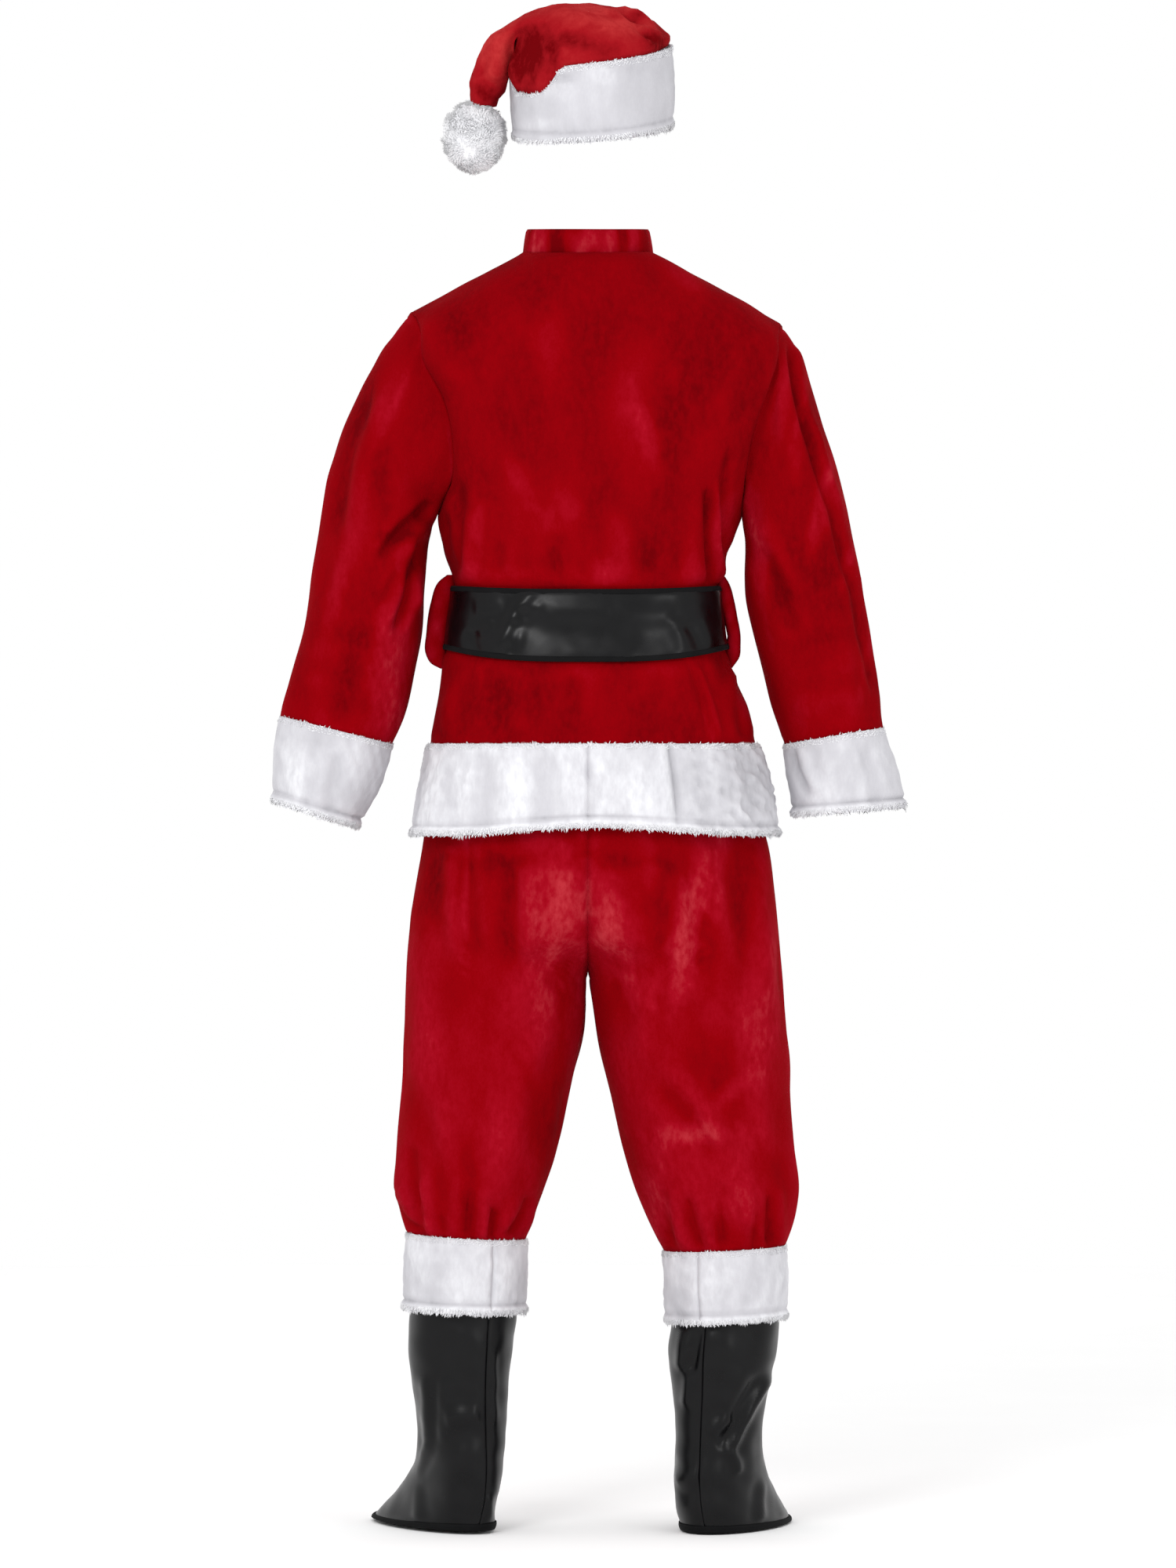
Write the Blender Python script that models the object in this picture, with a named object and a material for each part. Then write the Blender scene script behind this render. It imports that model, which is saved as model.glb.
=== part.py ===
"""Santa suit, worn and hollow: hat, jacket, belt, trousers and boot covers.

Metres, +Z up, origin between the shoulders at the neck, where the wearer holds the suit up. The suit
faces -Y, so its back is towards +Y and the wearer's left is +X. Sizes and tables are in millimetres.
"""

import math

import bmesh
import bpy
import numpy as np

MM = 0.001
SEAM_GAP = 0.3
PLUSH = 2.5
PILE_BAND = 7.0
PILE_REACH = 4.5
VINYL = 1.5
TAPE = 1.0
ROUND = 12
SQUARISH = 2.4
UP = np.array([0.0, 0.0, 1.0])
ASIDE = np.array([1.0, 0.0, 0.0])
BACKWARD = np.array([0.0, 1.0, 0.0])

# Jacket from hem to shoulder blades: height, the wearer's left and right edges, half depth at the
# edge (above the underarm the armhole opens) and at the centre back and centre front.
JACKET_ROWS = (
    # z, left, right, edge, back, front
    (-690, 211, -226, 0, 142, 142),
    (-636, 202, -219, 0, 139, 140),
    (-580, 190, -202, 0, 134, 136),
    (-530, 180, -190, 0, 125, 128),
    (-484, 174, -171, 0, 116, 120),
    (-436, 168, -162, 0, 111, 116),
    (-388, 162, -157, 0, 109, 115),
    (-344, 174, -168, 0, 116, 120),
    (-302, 181, -185, 0, 121, 124),
    (-266, 164, -188, 47, 124, 124),
    (-220, 162, -195, 62, 125, 121),
    (-170, 172, -210, 65, 121, 114),
    (-120, 197, -227, 56, 110, 100),
)
BAND_ROWS = 3
UNDERARM_ROW = 8
WAIST_ROW = 6
SHOULDER_LEFT = (219, 0, -62)
SHOULDER_RIGHT = (-236, 0, -75)
NECK_HALF_WIDTH = 78
NECK_BACK = 64
NECK_FRONT = 84
NECK_SIDE_Z = 12
NECK_BACK_Z = 8
NECK_FRONT_Z = -38
YOKE_STEPS = (0.42, 0.75, 0.94)
YOKE_BULGE = 0.8
NECK_SHARE = 0.35
# How far each column of the jacket's half lies from its centre, as a share of the half width.
COLUMN_SHARES = (1.0, 0.84, 0.67, 0.5, 0.35, 0.3, 0.2, 0.1)
NECK_COLUMNS = 4

# Sleeves: each section's outer and inner point and its half depth; the last is the cuff seam.
SLEEVE_ROWS = {
    # outer x, outer z, inner x, inner z, half depth
    "left": (
        (254, -116, 190, -318, 70),
        (283, -172, 193, -334, 74),
        (309, -250, 195, -362, 75),
        (322, -328, 195, -398, 73),
        (334, -390, 197, -432, 70),
        (348, -458, 204, -478, 67),
        (362, -506, 215, -524, 64),
        (371, -546, 236, -580, 60),
    ),
    "right": (
        (-262, -122, -189, -320, 70),
        (-287, -200, -190, -338, 74),
        (-303, -262, -190, -366, 75),
        (-318, -332, -191, -402, 73),
        (-331, -400, -198, -438, 70),
        (-343, -460, -208, -480, 67),
        (-351, -516, -220, -526, 64),
        (-356, -560, -237, -580, 60),
    ),
}
SLEEVE_CUFF_ROWS = {
    "left": ((378, -602, 253, -632, 61), (380, -650, 280, -681, 57)),
    "right": ((-372, -612, -241, -624, 61), (-382, -657, -247, -667, 59)),
}
CAP_SHARE = 0.42

# Trouser legs: a section that passes the centre plane is cut there, at the rise seams.
LEG_ROWS = {
    # outer x, outer z, inner x, inner z, half depth at the back and at the front
    "left": (
        (150, -474, -150, -474, 99, 101),
        (172, -560, -172, -560, 114, 117),
        (190, -640, -190, -640, 125, 124),
        (200, -704, -165, -704, 128, 124),
        (210, -762, -104, -762, 126, 120),
        (216, -812, -50, -812, 120, 114),
        (220, -866, 3, -866, 108, 106),
        (222, -930, 9, -930, 99, 100),
        (226, -1000, 22, -1000, 95, 96),
        (231, -1066, 36, -1066, 92, 94),
        (232, -1118, 53, -1118, 90, 90),
        (225, -1150, 67, -1154, 82, 82),
        (218, -1168, 75, -1176, 75, 75),
    ),
    "right": (
        (150, -474, -150, -474, 99, 101),
        (174, -560, -174, -560, 114, 117),
        (198, -640, -198, -640, 125, 124),
        (218, -704, -180, -704, 128, 124),
        (226, -762, -112, -762, 126, 120),
        (231, -812, -54, -812, 120, 114),
        (236, -866, 3, -866, 108, 106),
        (240, -930, 14, -930, 99, 100),
        (244, -1000, 27, -1000, 95, 96),
        (249, -1070, 42, -1070, 92, 94),
        (253, -1124, 60, -1124, 90, 90),
        (246, -1160, 77, -1163, 82, 82),
        (238, -1183, 91, -1190, 75, 75),
    ),
}
LEG_COLUMNS = 7
WAISTBAND_HEIGHT = 34
LEG_CUFF_ROWS = {
    "left": ((221, -1216, 75, -1222, 77, 77), (223, -1260, 77, -1265, 76, 76)),
    "right": ((240, -1229, 92, -1235, 77, 77), (237, -1271, 96, -1277, 76, 76)),
}
LEG_CUFF_REACH = 2.0

# Boot covers: centre, half width across the foot, half length along it, and the way the toe points.
BOOT_ROWS = {
    # z, centre x, centre y, half width, half length, toe angle from straight ahead
    "left": (
        (-1240, 150, 0, 60, 62, 5),
        (-1268, 151, 0, 61, 63, 10),
        (-1294, 154, 0, 64, 66, 15),
        (-1360, 154, -2, 58, 64, 20),
        (-1410, 153, -6, 53, 62, 25),
        (-1446, 157, -14, 53, 72, 28),
        (-1482, 166, -32, 54, 92, 30),
        (-1524, 186, -60, 56, 122, 30),
    ),
    "right": (
        (-1250, 167, 0, 60, 62, 4),
        (-1279, 166, 0, 61, 63, 6),
        (-1304, 162, 0, 65, 66, 8),
        (-1362, 159, -2, 57, 64, 12),
        (-1410, 158, -6, 53, 62, 16),
        (-1448, 158, -14, 52, 72, 18),
        (-1484, 165, -32, 54, 92, 20),
        (-1526, 180, -60, 56, 120, 21),
    ),
}
BOOT_COLUMNS = 14
BINDING_HEIGHT = 9

# The hat's crown bends over to its left, and sits lower at the back than at the front.
HAT_ROWS = (
    # outer x, outer z, inner x, inner z, half depth, lean, dip at the left of the back
    (-101, 262, 92, 240, 108, 0.19, 32),
    (-104, 274, 92, 250, 109, 0.19, 24),
    (-66, 298, 90, 259, 96, 0.14, 8),
    (-12, 313, 88, 264, 80, 0.06, 0),
    (50, 306, 87, 266, 62, 0, 0),
    (98, 286, 90, 264, 46, 0, 0),
    (128, 256, 97, 252, 34, 0, 0),
    (144, 218, 102, 226, 26, 0, 0),
    (141, 195, 110, 196, 18, 0, 0),
)
HAT_BAND_ROWS = ((-103, 212, 93, 194, 111, 0.19, 14), (-100, 164, 90, 150, 108, 0.19, 0))
DIP_X = 70
DIP_WIDTH = 32
DIP_START = 40
HAT_COLUMNS = 18
POMPOM_HALF_WIDTH = 38
POMPOM_HALF_HEIGHT = 43
POMPOM_X = 137

COLLAR_HEIGHT = 29
COLLAR_LEAN = 4

# Belt: the strap follows the jacket's columns, and sags at the centre back.
BELT_TOP_Z = -390
BELT_MIDDLE_Z = -436
BELT_BOTTOM_Z = -466
TOP_SAG = 6
BOTTOM_SAG = 17
SAG_SHAPE = 3
STRAP_CLEAR = 0.9
BINDING_WIDTH = 6.5
BUCKLE_HALF_WIDTH = 50
BUCKLE_RIM = 10
BUCKLE_BAR = 4
BUCKLE_THICKNESS = 3
BUCKLE_ROOM = 2
BAR_RISE_SHARE = 0.15
BAR_RISE = 8.5
LOOP_HALF_THICKNESS = 5
LOOP_HALF_WIDTH = 8
LOOP_SIDES = 8
LOOP_END_REACH = 6
# Each loop's path over the belt: the middle of its tube, between its two ends on the jacket.
LOOP_PATHS = {
    "left": ((180, -386), (185, -412), (190, -446), (191, -468), (187, -481)),
    "right": ((-169, -388), (-174, -412), (-178, -440), (-180, -468), (-177, -481)),
}
LOOP_TOP_Z = -370
LOOP_BOTTOM_Z = -492

# The largest folds: where each starts and ends, how wide it is and how far it stands out or sinks in.
FOLDS = {
    # start x, start z, end x, end z, width, height
    "jacket_back": (
        (-144, -262, -146, -368, 13, -9),
        (-168, -268, -160, -368, 12, 8),
        (-118, -300, -124, -372, 12, 6),
        (152, -262, 158, -372, 13, -7),
        (-126, -492, -156, -570, 16, 7),
        (64, -500, 84, -566, 20, 5),
    ),
    "sleeve_left": (
        (262, -160, 300, -330, 22, -8),
        (218, -300, 262, -420, 20, 6),
        (232, -470, 330, -440, 16, -6),
        (240, -530, 352, -500, 16, 5),
    ),
    "sleeve_right": (
        (-250, -140, -318, -370, 22, -9),
        (-210, -330, -270, -430, 20, 6),
        (-226, -470, -330, -450, 16, -6),
        (-240, -540, -340, -520, 16, 5),
    ),
    "trouser_back_left": (
        (147, -706, 138, -840, 16, -7),
        (74, -716, 74, -850, 18, 6),
        (212, -1060, 205, -1140, 14, -6),
        (112, -1100, 112, -1160, 12, -6),
        (140, -1104, 138, -1158, 12, 5),
    ),
    "trouser_back_right": (
        (-120, -716, -136, -860, 18, -7),
        (-196, -720, -214, -900, 16, 6),
        (-90, -960, -160, -1060, 20, 6),
        (-160, -1110, -160, -1170, 12, -6),
        (-216, -1100, -214, -1172, 13, -6),
    ),
}


def material(name, rgb, roughness, metallic=0.0):
    """A plain Principled material in one colour."""
    made = bpy.data.materials.new(name)
    made.use_nodes = True
    shader = made.node_tree.nodes["Principled BSDF"]
    shader.inputs["Base Color"].default_value = (*rgb, 1.0)
    shader.inputs["Roughness"].default_value = roughness
    shader.inputs["Metallic"].default_value = metallic
    return made


def unit(vectors):
    return vectors / np.linalg.norm(vectors, axis=-1, keepdims=True)


def moved(grid, distance, closed=True):
    """A grid of points moved along its own normals, outward for a positive distance.

    Rows run down the cloth and columns run anticlockwise seen from above, so that across x along
    points inward everywhere.
    """
    if closed:
        across = np.roll(grid, -1, axis=1) - np.roll(grid, 1, axis=1)
    else:
        across = np.gradient(grid, axis=1)
    inward = unit(np.cross(across, np.gradient(grid, axis=0)))
    return grid - distance * inward


def creased(grid, name):
    """The grid with its folds, which die out towards their ends and never move an edge."""
    lift = np.zeros(grid.shape[:2])
    for start_x, start_z, end_x, end_z, width, height in FOLDS[name]:
        start, way = np.array([start_x, start_z]), np.array([end_x - start_x, end_z - start_z])
        flat = grid[..., [0, 2]] - start
        share = np.clip(flat @ way / (way @ way), 0, 1)
        away = np.linalg.norm(flat - share[..., None] * way, axis=2)
        behind = grid[..., 1] > 0
        lift += height * np.exp(-((away / width) ** 2)) * behind
    if name == "jacket_back":
        heights = grid[..., 2]
        lift[(heights > BELT_BOTTOM_Z - 2 * BOTTOM_SAG) & (heights < BELT_TOP_Z + TOP_SAG)] = 0
    lift[[0, -1]] = 0
    if name.startswith(("jacket", "trouser")):
        lift[:, [0, -1]] = 0
    return grid + (moved(grid, 1) - grid) * lift[..., None]


def levelled(grid, base, row, axis):
    """The grid with one end row put back in its seam's plane, so that two pieces meet edge to edge."""
    flat = grid.copy()
    step = grid[row] - base[row]
    along = (step @ axis)[:, None] * axis
    size = np.linalg.norm(step, axis=1, keepdims=True)
    flat[row] = base[row] + unit(step - along) * size
    return flat


def seam_axis(row, lean=0.0):
    """The direction down the tube, square to a section's line from its outer to its inner point."""
    outer_x, outer_z, inner_x, inner_z = row[:4]
    axis = unit(np.cross([inner_x - outer_x, 0, inner_z - outer_z], [0, 1, -lean]))
    return axis if axis[2] < 0 else -axis


def build(name, outer, inner, slot, closed=True, capped=False, left_out=()):
    """One closed cloth wall between two grids of points, with a rim along every free edge."""
    rows, columns = outer.shape[:2]
    span = columns if closed else columns - 1
    mesh = bmesh.new()
    skins = [[[mesh.verts.new(p * MM) for p in row] for row in grid] for grid in (outer, inner)]
    behind = {}
    for outer_row, inner_row in zip(*skins):
        behind.update(zip(outer_row, inner_row))
    for i, j in np.ndindex(rows - 1, span):
        if (i, j) in left_out:
            continue
        k = (j + 1) % columns
        for skin in skins:
            mesh.faces.new((skin[i][j], skin[i][k], skin[i + 1][k], skin[i + 1][j]))
    if capped:
        for skin in skins:
            mesh.faces.new(skin[-1])
    rim = [edge.verts[:] for edge in mesh.edges if len(edge.link_faces) == 1]
    for first, second in rim:
        if first in behind:
            mesh.faces.new((first, second, behind[second], behind[first]))
    finish(name, mesh, slot)


def finish(name, mesh, slot):
    """The mesh as a smooth-shaded object with its material."""
    bmesh.ops.recalc_face_normals(mesh, faces=mesh.faces)
    data = bpy.data.meshes.new(name)
    mesh.to_mesh(data)
    mesh.free()
    data.materials.append(slot)
    data.shade_smooth()
    data.set_sharp_from_angle(angle=math.radians(50))
    bpy.context.scene.collection.objects.link(bpy.data.objects.new(name, data))


def split(grid, first, last):
    """Columns first to last of a closed grid, each end held half a seam's gap off the next piece."""
    columns = [k % grid.shape[1] for k in range(first, last + 1)]
    cut = grid[:, columns].copy()
    cut[:, 0] += unit(cut[:, 1] - cut[:, 0]) * SEAM_GAP / 2
    cut[:, -1] += unit(cut[:, -2] - cut[:, -1]) * SEAM_GAP / 2
    return cut


def kept_from(grid, axis, side):
    """Half a seam's gap kept off the plane square to an axis, on the grid's own side of it."""
    clear = grid.copy()
    clear[..., axis] = side * np.maximum(side * clear[..., axis], SEAM_GAP / 2)
    return clear


def sections(rows, count, turned=False):
    """A ring for each row, round the line from its outer to its inner point, by the back first."""
    rings = []
    for outer_x, outer_z, inner_x, inner_z, depth in (row[:5] for row in rows):
        middle = np.array([(outer_x + inner_x) / 2, 0, (outer_z + inner_z) / 2])
        reach = np.array([outer_x, 0, outer_z]) - middle
        turns = [2 * math.pi * k / count for k in range(count)]
        rings.append([middle + reach * math.cos(a) + depth * BACKWARD * math.sin(a) for a in turns])
    grid = np.array(rings)
    return np.roll(grid[:, ::-1], 1, axis=1) if turned else grid


def rounded(share):
    """How deep a squarish oval still is at a share of its half width."""
    return max(0.0, 1 - abs(share) ** SQUARISH) ** (1 / SQUARISH)


def jacket_row(row, share, side):
    """A point of a jacket row; share goes from -1 at the right edge to 1 at the left."""
    z, left, right, edge, back, front = row
    depth = back if side > 0 else front
    x = left * share if share > 0 else -right * share
    return np.array([x, side * (edge + (depth - edge) * rounded(share)), z])


def top_point(share, side):
    """A point of the shoulder seam, or of the neck edge within its share of the width."""
    depth, low = (NECK_BACK, NECK_BACK_Z) if side > 0 else (NECK_FRONT, NECK_FRONT_Z)
    shoulder = np.array(SHOULDER_LEFT if share > 0 else SHOULDER_RIGHT, dtype=float)
    neck = np.array([math.copysign(NECK_HALF_WIDTH, share), 0, NECK_SIDE_Z])
    if abs(share) > NECK_SHARE:
        return neck + (shoulder - neck) * (abs(share) - NECK_SHARE) / (1 - NECK_SHARE)
    turn = math.asin(abs(share) / NECK_SHARE)
    height = low + (NECK_SIDE_Z - low) * (1 - math.cos(turn))
    return np.array([neck[0] * math.sin(turn), side * depth * math.cos(turn), height])


def jacket_column(share, side):
    """One column of the jacket, from the neck or shoulder down to the band's lower edge."""
    column = [jacket_row(row, share, side) for row in JACKET_ROWS]
    low, top = column[-1], top_point(share, side)
    for step in YOKE_STEPS:
        rise = math.sin(step * math.pi / 2)
        fall = math.cos(step * math.pi / 2) ** YOKE_BULGE
        x, y = (top + (low - top) * fall)[:2]
        column.append(np.array([x, y, low[2] + (top[2] - low[2]) * rise]))
    column.append(top)
    return np.array(column[::-1])


def half_shares(side):
    """Column shares anticlockwise: the back runs from left to right, the front from right to left."""
    shares = [*COLUMN_SHARES, 0.0, *(-share for share in reversed(COLUMN_SHARES))]
    return shares if side > 0 else shares[::-1]


def jacket_half(side):
    """The back or the front as one grid, top row first."""
    return np.stack([jacket_column(share, side) for share in half_shares(side)], axis=1)


def jacket(plush, pile):
    """Back and fronts above the hem band, and the band's two halves below them."""
    seam = len(YOKE_STEPS) + 1 + len(JACKET_ROWS) - BAND_ROWS
    middle = len(COLUMN_SHARES)
    back, front = jacket_half(1), jacket_half(-1)
    whole = np.concatenate([back[seam:, :-1], front[seam:, :-1]], axis=1)
    for name, grid, side in (("back", back, 1), ("front", front, -1)):
        outer = grid[: seam + 1]
        outer = creased(outer, "jacket_back") if side > 0 else outer
        inner = levelled(moved(outer, -PLUSH, False), outer, -1, UP)
        skins = [kept_from(skin, 1, side) for skin in (outer, inner)]
        if side > 0:
            build("jacket_back", *skins, plush, closed=False)
            continue
        right = [kept_from(skin[:, : middle + 1], 0, -1) for skin in skins]
        left = [kept_from(skin[:, middle:], 0, 1) for skin in skins]
        build("jacket_front_right", *right, plush, closed=False)
        build("jacket_front_left", *left, plush, closed=False)
    outer, inner = pile_skins(whole, UP, PILE_REACH)
    for name, hand in (("left", 1), ("right", -1)):
        first = middle if hand < 0 else 3 * middle
        columns = [k % whole.shape[1] for k in range(first, first + 2 * middle + 1)]
        skins = [kept_from(skin[:, columns], 0, hand) for skin in (outer, inner)]
        build(f"hem_band_{name}", *skins, pile, closed=False)


def pile_skins(grid, axis, reach):
    """Outer and inner skin of a closed band of deep pile, below a seam whose plane is square to axis."""
    skins = []
    for distance in (reach, reach - PILE_BAND):
        skin = levelled(moved(grid, distance), grid, 0, axis)
        skin[0] -= axis * math.copysign(SEAM_GAP, axis[2])
        skins.append(skin)
    return skins


def armhole(hand):
    """The armhole's outline, from the shoulder by the back to the underarm and up the front."""
    underarm = len(YOKE_STEPS) + len(JACKET_ROWS) - UNDERARM_ROW
    back = jacket_column(hand, 1)[: underarm + 1]
    front = jacket_column(hand, -1)[: underarm + 1]
    return np.concatenate([back, front[-2:0:-1]])


def sleeves(plush, pile):
    """Each sleeve runs from its armhole to the cuff seam, with its cuff below."""
    for name, hand in (("left", 1), ("right", -1)):
        loop = armhole(hand) + hand * SEAM_GAP * ASIDE
        count = len(loop)
        rows = SLEEVE_ROWS[name]
        tube = sections(rows + SLEEVE_CUFF_ROWS[name], count, turned=hand < 0)
        loop = np.roll(loop[::-1], 1, axis=0) if hand < 0 else loop
        cap = loop + (tube[0] - loop) * CAP_SHARE
        grid = creased(np.concatenate([[loop], [cap], tube[: len(rows)]]), f"sleeve_{name}")
        axis = seam_axis(rows[-1])
        inner = levelled(moved(grid, -PLUSH), grid, 0, ASIDE)
        build(f"sleeve_{name}", grid, levelled(inner, grid, -1, axis), plush)
        build(f"sleeve_cuff_{name}", *pile_skins(tube[len(rows) - 1 :], axis, PILE_REACH / 3), pile)


def collar(plush):
    """A plain stand collar on the neck edge, its ends meeting at the centre front."""
    middle = len(COLUMN_SHARES)
    neck = slice(middle - NECK_COLUMNS, middle + NECK_COLUMNS + 1)
    back = [top_point(share, 1) for share in half_shares(1)[neck]]
    front = [top_point(share, -1) for share in half_shares(-1)[neck]]
    ring = np.array(front[NECK_COLUMNS:-1] + back[:-1] + front[: NECK_COLUMNS + 1])
    outward = unit(ring * (1, 1, 0))
    foot = ring + UP * 2 * SEAM_GAP
    rim = foot + UP * COLLAR_HEIGHT - outward * COLLAR_LEAN
    outer = np.array([rim, foot])
    inner = np.array([rim - outward * PLUSH, foot - outward * PLUSH])
    for skin in (outer, inner):
        skin[:, 0, 0] += SEAM_GAP / 2
        skin[:, -1, 0] -= SEAM_GAP / 2
    build("jacket_collar", outer, inner, plush, closed=False)


def leg_ring(row, side, hand):
    """Half a leg section from the outseam round to the inseam or the rise seam."""
    outer_x, outer_z, inner_x, inner_z, back, front = row
    depth = back if side > 0 else front
    centre, half = (outer_x + inner_x) / 2, (outer_x - inner_x) / 2
    end = math.acos(max(-1.0, -centre / half))
    ring = []
    for k in range(LEG_COLUMNS + 1):
        turn = end * k / LEG_COLUMNS
        x = centre + half * math.cos(turn)
        z = inner_z + (outer_z - inner_z) * (x - inner_x) / (outer_x - inner_x)
        ring.append([hand * x, side * depth * math.sin(turn), z])
    return ring


def legs(plush, pile):
    """Two backs and two fronts, and below each leg a white cuff with its seam at the back."""
    for name, hand in (("left", 1), ("right", -1)):
        rows = LEG_ROWS[name]
        axis = seam_axis((hand * rows[-1][0], rows[-1][1], hand * rows[-1][2], rows[-1][3]))
        for side_name, side in (("back", 1), ("front", -1)):
            outer = np.array([leg_ring(row, side, hand) for row in rows])
            outer = outer[:, ::-1] if hand * side < 0 else outer
            outer = creased(outer, f"trouser_back_{name}") if side > 0 else outer
            inner = levelled(moved(outer, -PLUSH, False), outer, -1, axis)
            inner = levelled(inner, outer, 0, UP)
            skins = [kept_from(kept_from(skin, 1, side), 0, hand) for skin in (outer, inner)]
            build(f"trouser_{side_name}_{name}", *skins, plush, closed=False)
        tube = []
        for row in (rows[-1], *LEG_CUFF_ROWS[name]):
            back, front = leg_ring(row, 1, hand), leg_ring(row, -1, hand)
            ring = back[:-1] + front[:0:-1]
            tube.append(ring if hand > 0 else [ring[-k] for k in range(len(ring))])
        skins = pile_skins(np.array(tube), axis, LEG_CUFF_REACH)
        start = LEG_COLUMNS // 2 if hand > 0 else 2 * LEG_COLUMNS - LEG_COLUMNS // 2
        skins = [split(skin, start, start + 2 * LEG_COLUMNS) for skin in skins]
        build(f"leg_cuff_{name}", *skins, pile, closed=False)


def waistband(plush):
    """The elastic casing: one ring standing on the trousers' upper edge."""
    row = LEG_ROWS["left"][0]
    right, left = leg_ring(row, 1, -1), leg_ring(row, 1, 1)
    ahead, behind = leg_ring(row, -1, -1), leg_ring(row, -1, 1)
    ring = np.array(left[:-1] + right[:0:-1] + ahead[:-1] + behind[:0:-1])
    outer = np.array([ring + UP * WAISTBAND_HEIGHT, ring + UP * SEAM_GAP])
    build("waistband", outer, moved(outer, -PLUSH), plush)


def boot_ring(row, hand):
    """A boot cover's section, starting at the back seam, anticlockwise seen from above."""
    z, x, y, width, length, toe = row
    ahead = np.array([math.sin(math.radians(toe)), -math.cos(math.radians(toe)), 0])
    aside = np.array([-ahead[1], ahead[0], 0])
    ring = []
    for k in range(BOOT_COLUMNS):
        turn = -hand * 2 * math.pi * k / BOOT_COLUMNS
        point = np.array([x, y, z]) - ahead * length * math.cos(turn) + aside * width * math.sin(turn)
        ring.append(point * np.array([hand, 1, 1]))
    return ring


def boot_covers(vinyl, tape):
    """Two side panels and a bound lower edge for each foot."""
    half = BOOT_COLUMNS // 2
    for name, hand in (("left", 1), ("right", -1)):
        outer = np.array([boot_ring(row, hand) for row in BOOT_ROWS[name]])
        inner = levelled(moved(outer, -VINYL), outer, -1, UP)
        pieces = ("inner", "outer") if hand > 0 else ("outer", "inner")
        for piece, first in zip(pieces, (0, half)):
            skins = [split(skin, first, first + half) for skin in (outer, inner)]
            build(f"boot_{name}_{piece}", *skins, vinyl, closed=False)
        edge = outer[-1]
        strip = np.array([edge + unit(outer[-2] - edge) * BINDING_HEIGHT, edge])
        under = moved(strip, STRAP_CLEAR)
        build(f"boot_{name}_binding", moved(under, TAPE), under, tape)


def drooped(grid, rows):
    """The hat lowered at the back, most of all where its folded tail draws the seam down."""
    low = grid.copy()
    for ring, row in zip(low, rows):
        lean, dip = row[5:]
        behind = np.clip(ring[:, 1] / DIP_START, 0, 1)
        near = np.exp(-(((ring[:, 0] - DIP_X) / DIP_WIDTH) ** 2))
        ring[:, 2] -= lean * ring[:, 1] + dip * behind * near
    return low


def hat(plush, pile):
    """Crown with its tail folded over, the band below it and the ball at the tail's end."""
    crown = drooped(sections(HAT_ROWS, HAT_COLUMNS), HAT_ROWS)
    axis = seam_axis(HAT_ROWS[0], HAT_ROWS[0][5])
    inner = levelled(moved(crown, -PLUSH), crown, 0, axis)
    build("hat_crown", crown, inner, plush, capped=True)
    rows = (HAT_ROWS[0], *HAT_BAND_ROWS)
    band = drooped(sections(rows, HAT_COLUMNS, turned=True), rows)
    build("hat_band", *pile_skins(band, axis, PILE_REACH), pile)
    mesh = bmesh.new()
    bmesh.ops.create_uvsphere(mesh, u_segments=ROUND, v_segments=ROUND // 2 + 1, radius=MM)
    size = (POMPOM_HALF_WIDTH, POMPOM_HALF_WIDTH, POMPOM_HALF_HEIGHT)
    bmesh.ops.scale(mesh, verts=mesh.verts, vec=size)
    tail_z = HAT_ROWS[-1][1]
    middle = (POMPOM_X * MM, 0, (tail_z - 2 * SEAM_GAP - POMPOM_HALF_HEIGHT) * MM)
    bmesh.ops.translate(mesh, verts=mesh.verts, vec=middle)
    finish("hat_pompom", mesh, pile)


def belt_rows(drops):
    """Rings over the jacket at several heights; each is a share of the way from the strap's top edge."""
    rings = []
    for edge_share, extra in drops:
        ring = []
        for side in (1, -1):
            for share in half_shares(side)[:-1]:
                column = jacket_column(share, side)[::-1]
                sag = 1 - abs(share) ** SAG_SHAPE if side > 0 else 0
                top, bottom = BELT_TOP_Z - TOP_SAG * sag, BELT_BOTTOM_Z - BOTTOM_SAG * sag
                z = BELT_MIDDLE_Z if edge_share is None else top + (bottom - top) * edge_share + extra
                ring.append([np.interp(z, column[:, 2], column[:, axis]) for axis in range(2)] + [z])
        rings.append(ring)
    return np.array(rings)


def raised(grid):
    """The strap's grid with its centre-front stretch moved out over the buckle's bar."""
    over = np.zeros(grid.shape[:2])
    shares = half_shares(1)[:-1] + half_shares(-1)[:-1]
    for column, share in enumerate(shares):
        in_front = column >= len(shares) // 2
        over[:, column] = BAR_RISE if in_front and abs(share) < BAR_RISE_SHARE else 0
    return grid - BACKWARD * over[..., None]


def belt(vinyl, tape, metal):
    """Strap, the tape along both its edges, and the buckle that joins its ends in front."""
    strap = raised(belt_rows(((0, 0), (None, 0), (1, 0))))
    build("belt_strap", moved(strap, STRAP_CLEAR + VINYL), moved(strap, STRAP_CLEAR), vinyl)
    face = STRAP_CLEAR + VINYL + SEAM_GAP
    edges = (("top", ((0, 0), (0, -BINDING_WIDTH))), ("bottom", ((1, BINDING_WIDTH), (1, 0))))
    for name, drops in edges:
        strip = raised(belt_rows(drops))
        build(f"belt_binding_{name}", moved(strip, face + TAPE), moved(strip, face), tape)
    buckle(metal, face + TAPE + STRAP_CLEAR)


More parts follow.
